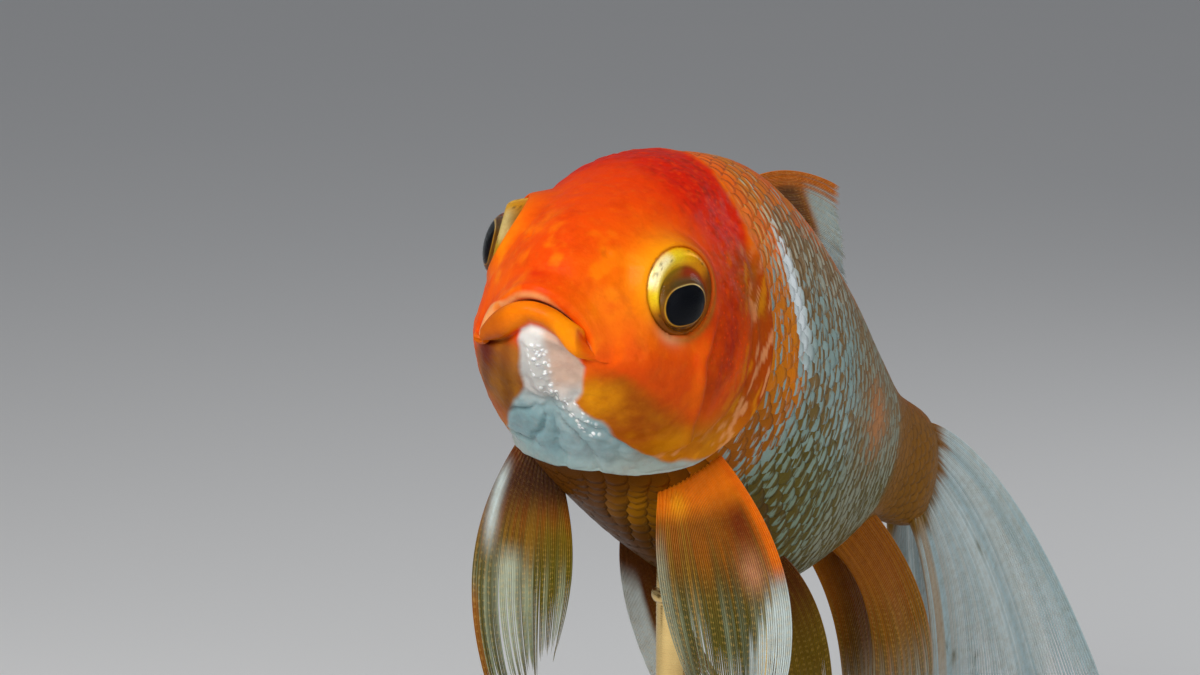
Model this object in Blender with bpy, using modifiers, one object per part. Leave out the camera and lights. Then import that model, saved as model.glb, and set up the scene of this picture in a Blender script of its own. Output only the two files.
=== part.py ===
"""Goldfish, a still display model on a two-rod stand.

The fish is first laid out straight, in millimetres: u runs back from the snout,
y to the fish's left and z up from the mouth.  It is cut into named parts there,
then bent, pitched and banked into its pose and set above the base.
"""
import math

import bmesh
import bpy
import numpy as np
from mathutils import Matrix, Vector

# ---------------------------------------------------------------- sizes, mm
MM = 0.001
GAP = 0.3                 # clearance between neighbouring parts
BODY_CLEARANCE = 0.35     # between the body and the fins and rods that meet it

PITCH = 24.3              # nose up, degrees
BANK = 5.2                # left side down, degrees
BEND = 15.5               # tail end swings to the fish's left, degrees
BEND_FROM, BEND_TO = 14.0, 56.0
TWIST = 7.0               # belly rolls towards the right, degrees
TWIST_FROM, TWIST_TO = 18.0, 60.0
TWIST_AXIS_Z = 3.0

SNOUT_AT = (-12.0, -70.4, 109.5)  # snout in the posed frame

BODY_RINGS = 33
BODY_SIDES = 30
FIN_COLUMNS = 12
FIN_ROWS = 9

EYE_RADIUS = 5.8
EYE_U, EYE_OUT = 12.0, 14.3       # pupil: back from the snout, out from the middle
EYE_UP_LEFT, EYE_UP_RIGHT = 5.0, 8.0
EYE_SINK = 4.5                    # eyeball centre behind the pupil
EYE_AIM = (-0.34, 0.93, -0.14)

JAW_BACK = 10.5                   # how far the lower jaw reaches back
JAW_TOP = -0.75                   # mouth line at the middle
JAW_DROP = 0.085                  # mouth line falls this much times y squared
GILL_TOP_U, GILL_SIDE_U, GILL_LOW_U = 27.0, 32.0, 28.5
COVER_FRONT_U, COVER_INNER_Y = 21.0, 12.8
COVER_TOP_Z, COVER_LOW_Z = 10.5, -9.5
STALK_U = 84.0

BASE_LENGTH, BASE_WIDTH, BASE_HEIGHT = 116.0, 86.0, 7.0
BASE_EDGE = 1.6
BASE_CENTRE_Y = -11.2
ROD_RADIUS = 2.0
FLANGE_RADIUS = 5.0
ROD_FRONT_UY = (46.0, 0.5)        # where each rod meets the belly: u, y
ROD_REAR_UY = (67.0, 0.5)

# body sections along the mean line: name, u at (top, side, bottom),
# z at (top, side, bottom), half width, roundness (top, bottom)
RINGS = (
    ("gullet", (5.5, 7.6, 5.5), (-0.5, -4.2, -0.9), 4.0, (2.0, 2.0)),
    ("slit", (2.4, 6.8, 2.6), (0.15, -4.4, -0.45), 5.9, (2.0, 2.0)),
    ("lip", (0.0, 5.2, 0.7), (1.3, -4.6, -1.5), 7.2, (2.0, 2.0)),
    ("lip_edge", (0.9, 6.0, 1.9), (2.8, -5.0, -3.7), 8.2, (2.0, 2.0)),
    ("muzzle", (1.5, 6.8, 3.6), (4.0, -4.8, -4.8), 8.9, (2.1, 2.0)),
    ("snout", (2.9, 7.8, 6.0), (7.4, -3.6, -7.0), 10.4, (2.1, 2.0)),
    ("brow", (6.2, 10.0, 9.6), (12.4, -2.2, -9.6), 12.3, (2.2, 2.0)),
    ("eye", (11.0, 13.5, 13.6), (17.2, -1.0, -12.8), 14.0, (2.2, 2.0)),
    ("cheek", (17.0, 18.4, 19.0), (22.0, -0.4, -16.0), 15.8, (2.2, 2.0)),
    ("gill", (25.0, 25.4, 25.8), (26.2, 0.6, -18.6), 17.2, (2.2, 1.9)),
    ("shoulder", (34.0, 34.0, 34.0), (29.2, 1.6, -21.4), 18.0, (2.0, 1.85)),
    ("breast", (44.0, 44.0, 44.0), (30.8, 2.0, -24.2), 18.2, (1.85, 1.85)),
    ("belly", (54.0, 54.0, 54.0), (29.6, 2.4, -25.8), 17.4, (1.75, 1.95)),
    ("vent", (66.0, 66.0, 66.0), (24.4, 2.4, -23.6), 14.4, (1.75, 2.05)),
    ("flank", (78.0, 78.0, 78.0), (17.2, 2.0, -16.6), 10.2, (1.85, 2.0)),
    ("stalk", (89.0, 89.0, 89.0), (11.6, 2.0, -8.6), 6.4, (2.0, 2.0)),
    ("tail_root", (99.0, 99.0, 99.0), (10.2, 1.6, -7.2), 4.6, (2.0, 2.0)),
    ("tail_end", (103.0, 103.0, 103.0), (8.8, 1.2, -6.2), 2.4, (2.0, 2.0)),
)

# fins: leading, middle and trailing ray, each as root, knee and tip on the
# straight fish; then ripple height, ripple count, notch, root and tip thickness
FINS = {
    "fin_dorsal": (
        ((45.0, 0.0, 27.0), (55.0, 0.0, 36.5), (71.0, 0.5, 36.0)),
        ((57.0, 0.0, 25.0), (66.0, 0.0, 31.5), (78.0, 0.5, 28.0)),
        ((68.0, 0.0, 19.0), (74.0, 0.0, 22.0), (81.5, 0.5, 18.0)),
        0.3, 2.0, 0.0, 1.4, 0.7),
    "fin_pectoral_left": (
        ((33.0, 13.0, -9.5), (44.0, 29.5, -25.5), (49.5, 18.0, -45.5)),
        ((32.0, 11.0, -13.0), (31.0, 23.0, -28.0), (45.0, 17.5, -46.0)),
        ((31.0, 8.0, -15.5), (26.0, 12.0, -29.5), (36.5, 17.5, -43.0)),
        0.7, 2.0, 0.0, 1.5, 0.7),
    "fin_pectoral_right": (
        ((33.0, -13.5, -8.5), (27.5, -22.0, -30.0), (41.5, -17.0, -49.5)),
        ((32.0, -11.5, -12.5), (28.0, -11.0, -29.5), (40.5, -12.0, -45.5)),
        ((31.0, -8.0, -15.5), (33.0, -0.5, -27.0), (38.5, -8.0, -41.0)),
        0.7, 2.0, 0.0, 1.5, 0.7),
    "fin_pelvic_left": (
        ((58.0, 9.0, -19.5), (68.5, 13.0, -24.5), (80.0, 6.5, -41.5)),
        ((57.5, 6.5, -21.5), (68.0, 8.5, -28.5), (78.5, 3.5, -41.5)),
        ((59.0, 4.0, -22.0), (69.0, 1.0, -28.5), (77.0, 0.0, -37.0)),
        0.6, 1.5, 0.0, 1.4, 0.7),
    "fin_pelvic_right": (
        ((45.0, -7.0, -21.0), (52.0, -12.5, -31.5), (71.5, -11.0, -45.5)),
        ((47.5, -5.5, -22.0), (59.0, -10.0, -32.5), (74.5, -9.5, -43.0)),
        ((50.0, -3.5, -23.0), (64.0, -8.0, -31.5), (76.5, -8.5, -38.0)),
        0.6, 1.5, 0.0, 1.4, 0.7),
    "fin_anal_left": (
        ((77.0, 2.6, -14.5), (90.0, 5.5, -18.5), (99.5, -0.5, -36.5)),
        ((81.5, 2.2, -11.5), (96.5, 5.5, -18.5), (106.5, 0.5, -34.0)),
        ((86.0, 1.8, -6.5), (102.0, 5.0, -14.0), (112.5, 0.0, -27.5)),
        0.5, 1.5, 0.0, 1.2, 0.7),
    "fin_anal_right": (
        ((77.0, -2.0, -14.5), (92.0, -2.5, -21.5), (103.5, -8.0, -35.0)),
        ((81.5, -1.6, -11.5), (99.5, -3.0, -20.0), (109.0, -8.5, -33.0)),
        ((86.0, -1.4, -6.5), (105.0, -3.0, -14.0), (115.0, -9.0, -26.5)),
        0.5, 1.5, 0.0, 1.2, 0.7),
    "fin_tail_left": (
        ((98.0, 1.6, 8.6), (115.5, 5.5, 11.5), (157.0, 8.5, -29.0)),
        ((100.0, 1.6, 1.5), (118.5, 6.0, -8.0), (143.5, -3.0, -36.5)),
        ((98.0, 1.6, -5.6), (111.5, 1.5, -18.0), (128.5, -10.0, -44.5)),
        2.0, 2.0, 0.12, 1.4, 0.7),
    "fin_tail_right": (
        ((98.0, -1.6, 8.6), (124.5, -15.0, 10.5), (168.0, -24.5, -26.0)),
        ((100.0, -1.6, 1.5), (126.0, -16.5, -7.0), (154.5, -30.5, -35.5)),
        ((98.0, -1.6, -5.6), (117.0, -12.5, -18.0), (135.5, -29.5, -42.0)),
        2.0, 2.0, 0.12, 1.4, 0.7),
}


def ease(value, low, high):
    t = np.clip((value - low) / (high - low), 0.0, 1.0)
    return t * t * (3.0 - 2.0 * t)


# ---------------------------------------------------------------- body shape
def hermite(x, knots, values):
    """Smooth curve through the rows of values, sampled at x."""
    span = np.diff(knots)[:, None]
    slope = np.diff(values, axis=0) / span
    tangent = np.zeros_like(values)
    tangent[1:-1] = (span[1:] * slope[:-1] + span[:-1] * slope[1:]) / (span[1:] + span[:-1])
    tangent[0], tangent[-1] = slope[0], slope[-1]
    i = np.clip(np.searchsorted(knots, x, side="right") - 1, 0, len(knots) - 2)
    h = span[i]
    t = ((x - knots[i]) / h[:, 0])[:, None]
    start = values[i] * (2 * t ** 3 - 3 * t ** 2 + 1) + h * tangent[i] * (t ** 3 - 2 * t ** 2 + t)
    end = values[i + 1] * (3 * t ** 2 - 2 * t ** 3) + h * tangent[i + 1] * (t ** 3 - t ** 2)
    return start + end


def ring_table():
    rows = np.array([[*r[1], *r[2], r[3], *r[4]] for r in RINGS], float)
    top, side, low = rows[:, [0, 3]], rows[:, [1, 6]], rows[:, [2, 5]]
    step = sum(np.linalg.norm(np.diff(line, axis=0), axis=1) for line in (top, side, low)) / 3
    return np.concatenate([[0.0], np.cumsum(step)]), rows


def body_grid(ring_count, side_count):
    """Closed rings of the whole body, mouth first, on the straight fish."""
    knots, rows = ring_table()
    lips = np.linspace(0.0, knots[6], ring_count // 3, endpoint=False)
    rest = np.linspace(knots[6], knots[-1], ring_count - len(lips))
    k = hermite(np.concatenate([lips, rest]), knots, rows)[:, None, :]
    angle = 2 * math.pi * (np.arange(side_count) + 0.5) / side_count
    c, s = np.cos(angle)[None, :], np.sin(angle)[None, :]
    above = c >= 0
    power = 2.0 / np.where(above, k[..., 7], k[..., 8])
    tall = np.abs(c) ** power
    wide = np.sign(s) * np.abs(s) ** power
    u = k[..., 1] + (np.where(above, k[..., 0], k[..., 2]) - k[..., 1]) * c ** 2
    z = k[..., 4] + (np.where(above, k[..., 3], k[..., 5]) - k[..., 4]) * tall
    return np.stack([u, k[..., 6] * wide, z], -1)


# ---------------------------------------------------------------- the pose
def centre_line():
    u = np.linspace(0.0, 220.0, 881)
    turn = math.radians(BEND) * ease(u, BEND_FROM, BEND_TO)
    step = u[1] - u[0]
    along = np.concatenate([[0.0], np.cumsum((np.cos(turn[1:]) + np.cos(turn[:-1])) / 2 * step)])
    aside = np.concatenate([[0.0], np.cumsum((np.sin(turn[1:]) + np.sin(turn[:-1])) / 2 * step)])
    return u, turn, along, aside


LINE = centre_line()


def posed(points):
    """Straight fish, mm, to the pose above the base, mm."""
    p = np.asarray(points, float)
    u, y, z = p[..., 0], p[..., 1], p[..., 2] - TWIST_AXIS_Z
    w = math.radians(TWIST) * ease(u, TWIST_FROM, TWIST_TO)
    y, z = y * np.cos(w) - z * np.sin(w), y * np.sin(w) + z * np.cos(w) + TWIST_AXIS_Z
    turn = np.interp(u, LINE[0], LINE[1])
    back = np.interp(u, LINE[0], LINE[2]) + np.minimum(u, 0.0) - y * np.sin(turn)
    left = np.interp(u, LINE[0], LINE[3]) + y * np.cos(turn)
    pitch, bank = math.radians(PITCH), math.radians(BANK)
    rear = np.array([0.0, math.cos(pitch), -math.sin(pitch)])
    rise = np.array([0.0, math.sin(pitch), math.cos(pitch)])
    east = np.array([1.0, 0.0, 0.0])
    aside = east * math.cos(bank) - rise * math.sin(bank)
    above = rise * math.cos(bank) + east * math.sin(bank)
    return (back[..., None] * rear + left[..., None] * aside + z[..., None] * above
            + np.array(SNOUT_AT))


# ---------------------------------------------------------------- meshes
def closed_mesh(name, bm):
    """Turn the faces outward and hand the bmesh over as a mesh."""
    bmesh.ops.recalc_face_normals(bm, faces=bm.faces)
    mesh = bpy.data.meshes.new(name)
    bm.to_mesh(mesh)
    bm.free()
    return mesh


def lattice(bm, points, wrap):
    """Quads over a grid of points; wrap joins the last column to the first."""
    rows, columns = points.shape[:2]
    verts = [[bm.verts.new(p) for p in row] for row in points]
    for i in range(rows - 1):
        for j in range(columns if wrap else columns - 1):
            k = (j + 1) % columns
            bm.faces.new((verts[i][j], verts[i + 1][j], verts[i + 1][k], verts[i][k]))
    return verts


def tube(name, rings):
    """Closed skin over rings of equal count, with both ends filled."""
    bm = bmesh.new()
    verts = lattice(bm, rings, wrap=True)
    for end, row in ((0, verts[0]), (-1, verts[-1])):
        hub = bm.verts.new(rings[end].mean(axis=0))
        for j, vert in enumerate(row):
            bm.faces.new((hub, vert, row[(j + 1) % len(row)]))
    return closed_mesh(name, bm)


def prism(name, outline, along):
    """Flat outline of points, carried by the vector along and closed."""
    bm = bmesh.new()
    face = bm.faces.new([bm.verts.new(point) for point in outline])
    moved = bmesh.ops.extrude_face_region(bm, geom=[face])["geom"]
    bmesh.ops.translate(bm, vec=along, verts=[g for g in moved if isinstance(g, bmesh.types.BMVert)])
    return closed_mesh(name, bm)


def ball(name, centre, axis, radius, rings=10, sides=18):
    """Sphere whose poles lie on the given axis."""
    turn = Vector(axis).to_track_quat("Z", "Y").to_matrix().to_4x4()
    bm = bmesh.new()
    bmesh.ops.create_uvsphere(bm, u_segments=sides, v_segments=rings, radius=radius,
                              matrix=Matrix.Translation(centre) @ turn)
    return closed_mesh(name, bm)


def apply_modifiers(item):
    """The object's evaluated shape as a plain mesh; the object is removed."""
    graph = bpy.context.evaluated_depsgraph_get()
    result = bpy.data.meshes.new_from_object(item.evaluated_get(graph))
    bpy.data.objects.remove(item)
    return result


def work_object(name, mesh):
    item = bpy.data.objects.new(name, mesh)
    item.display_type = "WIRE"
    item.hide_render = True
    cutters.objects.link(item)
    return item


def combine(mesh, others, operation):
    """Exact boolean of a mesh with each of the others, one after another."""
    body = work_object("work", mesh)
    tools = [work_object("tool", other) for other in others]
    for tool in tools:
        step = body.modifiers.new("cut", "BOOLEAN")
        step.operation = operation
        step.solver = "EXACT"
        step.object = tool
    result = apply_modifiers(body)
    for tool in tools:
        bpy.data.objects.remove(tool)
    return result


def tidy(mesh):
    """Merge stray points and keep the largest connected piece."""
    bm = bmesh.new()
    bm.from_mesh(mesh)
    bmesh.ops.remove_doubles(bm, verts=bm.verts, dist=0.02)
    bmesh.ops.dissolve_degenerate(bm, edges=bm.edges, dist=0.01)
    left, best = set(bm.verts), []
    while left:
        piece, queue = [], [left.pop()]
        while queue:
            vert = queue.pop()
            piece.append(vert)
            for edge in vert.link_edges:
                other = edge.other_vert(vert)
                if other in left:
                    left.remove(other)
                    queue.append(other)
        if len(piece) > len(best):
            best = piece
    keep = set(best)
    bmesh.ops.delete(bm, geom=[v for v in bm.verts if v not in keep], context="VERTS")
    bmesh.ops.triangulate(bm, faces=[f for f in bm.faces if len(f.verts) > 4])
    bmesh.ops.recalc_face_normals(bm, faces=bm.faces)
    bm.to_mesh(mesh)
    bm.free()
    return mesh


def material(name, colour, roughness, metallic=0.0):
    item = bpy.data.materials.new(name)
    item.use_nodes = True
    shader = item.node_tree.nodes["Principled BSDF"]
    shader.inputs["Base Color"].default_value = (*colour, 1.0)
    shader.inputs["Roughness"].default_value = roughness
    shader.inputs["Metallic"].default_value = metallic
    item.diffuse_color = (*colour, 1.0)
    return item


def finish(name, mesh, paint, pose=True, sharp=50.0):
    """Put a cut mesh into its pose, in metres, as a named part."""
    count = len(mesh.vertices)
    flat = np.empty(count * 3)
    mesh.vertices.foreach_get("co", flat)
    points = flat.reshape(-1, 3)
    if pose:
        points = posed(points)
    mesh.vertices.foreach_set("co", (points * MM).ravel())
    if pose:
        mesh.flip_normals()       # the straight frame is left-handed
    mesh.name = name
    mesh.materials.clear()
    mesh.materials.append(material(name + "_paint", *paint))
    for face in mesh.polygons:
        face.material_index = 0
        face.use_smooth = True
    mesh.set_sharp_from_angle(angle=math.radians(sharp))
    mesh.update()
    item = bpy.data.objects.new(name, mesh)
    parts.objects.link(item)
    return item


# ---------------------------------------------------------------- set up
for old in list(bpy.data.objects):
    bpy.data.objects.remove(old)
parts = bpy.data.collections.new("goldfish")
cutters = bpy.data.collections.new("cutters")
for group in (parts, cutters):
    bpy.context.scene.collection.children.link(group)

ORANGE = ((0.80, 0.19, 0.02), 0.35)
RED = ((0.70, 0.10, 0.02), 0.35)
FLANK = ((0.62, 0.42, 0.28), 0.35)
AMBER = ((0.55, 0.20, 0.03), 0.4)
PALE = ((0.72, 0.74, 0.72), 0.45)
EYE = ((0.05, 0.03, 0.01), 0.08)
BRASS = ((0.72, 0.52, 0.20), 0.3, 1.0)
EBONY = ((0.03, 0.022, 0.018), 0.35)

grid = body_grid(BODY_RINGS, BODY_SIDES)
FAR = 200.0


# ---------------------------------------------------------------- cut the body
def gill_line(shift):
    """Rear edge of the gill covers, from above the back to below the throat."""
    edge = []
    for z in np.linspace(40.0, -40.0, 15):
        reach = GILL_TOP_U if z > 0 else GILL_LOW_U
        u = GILL_SIDE_U - (GILL_SIDE_U - reach) * min(abs(z) / 24.0, 1.0) ** 2
        edge.append((u + shift, z))
    return edge


def sideways(name, outline, low=-60.0, high=60.0):
    """Outline in the u-z plane carried from y = low to y = high."""
    return prism(name, [(u, low, z) for u, z in outline], (0.0, high - low, 0.0))


def before_gills(shift):
    return sideways("front", gill_line(shift) + [(-FAR, -40.0), (-FAR, 40.0)])


def behind_gills(shift):
    return sideways("rear", gill_line(shift) + [(FAR, -40.0), (FAR, 40.0)])


def slab(name, low, high):
    return sideways(name, [(low, 60.0), (high, 60.0), (high, -60.0), (low, -60.0)])


def jaw_wedge(grow):
    """Everything under the arch of the mouth, back to the end of the jaw."""
    side = np.linspace(-16.0, 16.0, 17)
    outline = [(-20.0, y, JAW_TOP + grow - JAW_DROP * y * y) for y in side]
    outline += [(-20.0, 16.0, -40.0), (-20.0, -16.0, -40.0)]
    return prism("jaw", outline, (20.0 + JAW_BACK + grow, 0.0, 0.0))


def cover_block(side, grow):
    """Room of one gill cover: round in front, open to the rear and outside."""
    mid = (COVER_TOP_Z + COVER_LOW_Z) / 2
    half = (COVER_TOP_Z - COVER_LOW_Z) / 2 + grow
    outline = [(COVER_FRONT_U - grow + 5.0 * step ** 4, mid + half * step)
               for step in np.linspace(1.0, -1.0, 11)]
    outline += [(60.0, mid - half), (60.0, mid + half)]
    inner = side * (COVER_INNER_Y - grow)
    return sideways("cover", outline, inner, side * 60.0)


def eyeball(side, grow):
    up = EYE_UP_LEFT if side > 0 else EYE_UP_RIGHT
    aim = np.array([EYE_AIM[0], side * EYE_AIM[1], EYE_AIM[2]])
    aim /= np.linalg.norm(aim)
    centre = np.array([EYE_U, side * EYE_OUT, up]) - aim * EYE_SINK
    return ball("eye", Vector(centre), aim, EYE_RADIUS + grow)


def whole():
    return tube("whole", grid)


half_gap = GAP / 2
head_block = combine(whole(), [before_gills(-half_gap)], "INTERSECT")
jaw = combine(head_block.copy(), [jaw_wedge(-half_gap)], "INTERSECT")
covers = {}
for side, word in ((1, "left"), (-1, "right")):
    covers[word] = combine(head_block.copy(), [cover_block(side, -half_gap)], "INTERSECT")
head = combine(head_block, [jaw_wedge(half_gap), cover_block(1, half_gap),
                            cover_block(-1, half_gap), eyeball(1, GAP),
                            eyeball(-1, GAP)], "DIFFERENCE")
trunk = combine(whole(), [behind_gills(half_gap), slab("mid", -FAR, STALK_U - half_gap)],
                "INTERSECT")
stalk = combine(whole(), [slab("end", STALK_U + half_gap, FAR)], "INTERSECT")

finish("head", tidy(head), ORANGE)
finish("lower_jaw", tidy(jaw), ORANGE)
for word, mesh in covers.items():
    finish("gill_cover_" + word, tidy(mesh), RED)
finish("trunk", tidy(trunk), FLANK)
finish("tail_stalk", tidy(stalk), AMBER)
finish("eye_left", eyeball(1, 0.0), EYE)
finish("eye_right", eyeball(-1, 0.0), EYE)


# ---------------------------------------------------------------- fins
def normals_of(surface):
    across, along = np.gradient(surface, axis=0), np.gradient(surface, axis=1)
    normal = np.cross(across, along)
    length = np.linalg.norm(normal, axis=-1, keepdims=True)
    return normal / np.maximum(length, 1e-9)


def fin_middle(lead, middle, trail, ripple, waves, notch, columns, rows):
    """Middle surface of a fin, posed, from its three rays."""
    rays = posed(np.array([lead, middle, trail]))
    v = np.linspace(0.0, 1.0, columns)[:, None, None]
    w = np.linspace(0.0, 1.0, rows)[None, :, None]
    w = w * (1.0 - notch * np.exp(-((v - 0.5) / 0.2) ** 2))
    blend = ((1 - v) * (1 - 2 * v), 4 * v * (1 - v), v * (2 * v - 1))
    root, knee, tip = (sum(b * rays[i, k] for i, b in enumerate(blend)) for k in range(3))
    sheet = (1 - w) ** 2 * root + 2 * w * (1 - w) * knee + w ** 2 * tip
    wave = ripple * w ** 1.4 * np.sin(2 * math.pi * waves * v + 2.2 * w)
    return sheet + normals_of(sheet) * wave, w


def fin_solid(name, spec):
    """The fin's surface thickened to both sides and trimmed clear of the body."""
    lead, middle, trail, ripple, waves, notch, root_t, tip_t = spec
    sheet, w = fin_middle(lead, middle, trail, ripple, waves, notch, FIN_COLUMNS, FIN_ROWS)
    bm = bmesh.new()
    lattice(bm, sheet, wrap=False)
    mesh = bpy.data.meshes.new(name)
    bm.to_mesh(mesh)
    bm.free()
    item = work_object(name, mesh)
    group = item.vertex_groups.new(name="thickness")
    share = np.broadcast_to(1.0 + (tip_t / root_t - 1.0) * w, sheet.shape[:2] + (1,)).ravel()
    for index, weight in enumerate(share):
        group.add([index], float(weight), "REPLACE")
    wall = item.modifiers.new("wall", "SOLIDIFY")
    wall.thickness = root_t
    wall.offset = 0.0
    wall.vertex_group = group.name
    return combine(apply_modifiers(item), [grown_body(BODY_CLEARANCE)], "DIFFERENCE")


def grown_body(grow):
    """The whole posed body, a little larger, to trim fins and rods against."""
    rings = posed(grid)
    across = np.roll(rings, -1, axis=1) - np.roll(rings, 1, axis=1)
    normal = np.cross(across, np.gradient(rings, axis=0))
    normal /= np.maximum(np.linalg.norm(normal, axis=-1, keepdims=True), 1e-9)
    centre = rings.mean(axis=1, keepdims=True)
    outward = np.sign((normal * (rings - centre)).sum(-1).mean())
    larger = rings + outward * normal * grow
    last = posed(grid[-1] + np.array([grow, 0.0, 0.0]))
    outer = last + (last - last.mean(axis=0)) * 0.1
    return tube("grown", np.concatenate([larger[4:-1], outer[None]]))


FIN_PAINT = {"fin_dorsal": AMBER, "fin_tail_left": PALE, "fin_tail_right": PALE}
for name, spec in FINS.items():
    finish(name, tidy(fin_solid(name, spec)), FIN_PAINT.get(name, AMBER), pose=False, sharp=70.0)


# ---------------------------------------------------------------- stand
def oval_base():
    """Round disc stretched to an oval, with its edges eased."""
    bm = bmesh.new()
    shape = Matrix.Translation((0.0, BASE_CENTRE_Y, BASE_HEIGHT / 2))
    shape = shape @ Matrix.Diagonal((BASE_WIDTH / 2, BASE_LENGTH / 2, BASE_HEIGHT, 1.0))
    bmesh.ops.create_cone(bm, cap_ends=True, segments=48, radius1=1.0, radius2=1.0,
                          depth=1.0, matrix=shape)
    rim = [e for e in bm.edges if any(len(f.verts) > 4 for f in e.link_faces)]
    bmesh.ops.bevel(bm, geom=rim, offset=BASE_EDGE, segments=2, profile=0.5, affect="EDGES")
    return closed_mesh("base", bm)


def rod(name, belly):
    """Turned rod with a foot flange, from the base up to the belly."""
    foot = posed(np.array([belly[0], belly[1], -20.0]))
    low, top = BASE_HEIGHT + GAP, foot[2] + 6.0
    profile = ((0.0, top), (ROD_RADIUS, top), (ROD_RADIUS, low + 2.6),
               (FLANGE_RADIUS - 0.8, low + 2.2), (FLANGE_RADIUS, low + 1.4),
               (FLANGE_RADIUS, low), (0.0, low))
    bm = bmesh.new()
    verts = [bm.verts.new((r, 0.0, z)) for r, z in profile]
    for first, second in zip(verts, verts[1:]):
        bm.edges.new((first, second))
    mesh = bpy.data.meshes.new(name)
    bm.to_mesh(mesh)
    bm.free()
    item = work_object(name, mesh)
    turned = item.modifiers.new("turned", "SCREW")
    turned.steps = turned.render_steps = 24
    turned.use_merge_vertices = True
    turned.merge_threshold = 0.0001
    bar = apply_modifiers(item)
    bar.transform(Matrix.Translation((foot[0], foot[1], 0.0)))
    return combine(bar, [grown_body(BODY_CLEARANCE)], "DIFFERENCE")


finish("stand_base", oval_base(), EBONY, pose=False, sharp=35.0)
finish("stand_rod_front", tidy(rod("front", ROD_FRONT_UY)), BRASS, pose=False, sharp=35.0)
finish("stand_rod_rear", tidy(rod("rear", ROD_REAR_UY)), BRASS, pose=False, sharp=35.0)
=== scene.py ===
import math
import bpy
import numpy as np
from mathutils import Matrix, Vector


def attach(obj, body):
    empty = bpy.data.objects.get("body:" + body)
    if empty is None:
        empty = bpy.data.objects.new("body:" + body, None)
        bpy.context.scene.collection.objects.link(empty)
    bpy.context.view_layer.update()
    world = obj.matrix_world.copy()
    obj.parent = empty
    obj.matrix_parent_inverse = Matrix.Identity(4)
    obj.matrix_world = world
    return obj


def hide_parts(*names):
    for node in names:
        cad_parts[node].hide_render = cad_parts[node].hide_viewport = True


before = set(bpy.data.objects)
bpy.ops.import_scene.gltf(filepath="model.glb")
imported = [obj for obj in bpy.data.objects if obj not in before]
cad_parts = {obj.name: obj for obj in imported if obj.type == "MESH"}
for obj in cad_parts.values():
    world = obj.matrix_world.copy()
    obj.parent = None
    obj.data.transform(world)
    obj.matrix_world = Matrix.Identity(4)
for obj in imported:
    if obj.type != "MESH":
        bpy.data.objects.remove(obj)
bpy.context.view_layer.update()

mm = 0.001

# The fish is laid out straight first: u back from the snout, y to its left, z up, in mm.
# Each section: u at top, side, bottom; z at top, side, bottom; half width; roundness above, below.
bodySections = {
    "gullet": (5.5, 7.6, 5.5, -0.5, -4.2, -0.9, 4.0, 2, 2),
    "slit": (2.4, 6.8, 2.6, 0.15, -4.4, -0.45, 5.9, 2, 2),
    "lip": (0, 5.2, 0.7, 1.3, -4.6, -1.5, 7.2, 2, 2),
    "lipEdge": (0.9, 6.0, 1.9, 2.8, -5.0, -3.7, 8.2, 2, 2),
    "muzzle": (1.5, 6.8, 3.6, 4.0, -4.8, -4.8, 8.9, 2.1, 2),
    "snout": (2.9, 7.8, 6.0, 7.4, -3.6, -7.0, 10.4, 2.1, 2),
    "brow": (6.2, 10.0, 9.6, 12.4, -2.2, -9.6, 12.3, 2.2, 2),
    "eye": (11.0, 13.5, 13.6, 17.2, -1.0, -12.8, 14.0, 2.2, 2),
    "cheek": (17.0, 18.4, 19.0, 22.0, -0.4, -16.0, 15.8, 2.2, 2),
    "gill": (25.0, 25.4, 25.8, 26.2, 0.6, -18.6, 17.2, 2.2, 1.9),
    "shoulder": (34, 34, 34, 29.2, 1.6, -21.4, 18.0, 2, 1.85),
    "breast": (44, 44, 44, 30.8, 2.0, -24.2, 18.2, 1.85, 1.85),
    "belly": (54, 54, 54, 29.6, 2.4, -25.8, 17.4, 1.75, 1.95),
    "vent": (66, 66, 66, 24.4, 2.4, -23.6, 14.4, 1.75, 2.05),
    "flank": (78, 78, 78, 17.2, 2.0, -16.6, 10.2, 1.85, 2),
    "stalk": (89, 89, 89, 11.6, 2.0, -8.6, 6.4, 2, 2),
    "tailRoot": (99, 99, 99, 10.2, 1.6, -7.2, 4.6, 2, 2),
    "tailEnd": (103, 103, 103, 8.8, 1.2, -6.2, 2.4, 2, 2),
}

pose = {
    "pitch": 24.3, "bank": 5.2,                   # nose up, left side down, degrees
    "bend": 15.5, "bendFrom": 14, "bendTo": 56,   # tail swings to the fish's left
    "twist": 7, "twistFrom": 18, "twistTo": 60, "twistAxis": 3,
    "snoutAt": (-12.0, -70.4, 109.5),
    "longest": 220, "steps": 881,                 # mm of centre line, and how finely it is worked out
}


# Climbs smoothly from 0 at the start to 1 at the end; with the start above the end it falls instead.
def ease(value, start, end):
    t = np.clip((value - start) / (end - start), 0.0, 1.0)
    return t * t * (3.0 - 2.0 * t)


def hump(distance, width):
    return np.exp(-(distance / width) ** 2)


def blend(first, second, share):
    share = np.asarray(share)[..., None]
    return np.asarray(first) * (1.0 - share) + np.asarray(second) * share


def unit(vectors):
    return vectors / np.maximum(np.linalg.norm(vectors, axis=-1, keepdims=True), 1e-9)


def farFrom(points, spot, squash=(1.0, 1.0, 1.0)):
    return np.linalg.norm((points - np.array(spot)) * squash, axis=-1)


# Degrees round the body: 0 at the back, 180 under the throat.
def fromBack(angle):
    return np.degrees(np.arccos(np.cos(angle)))


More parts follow.
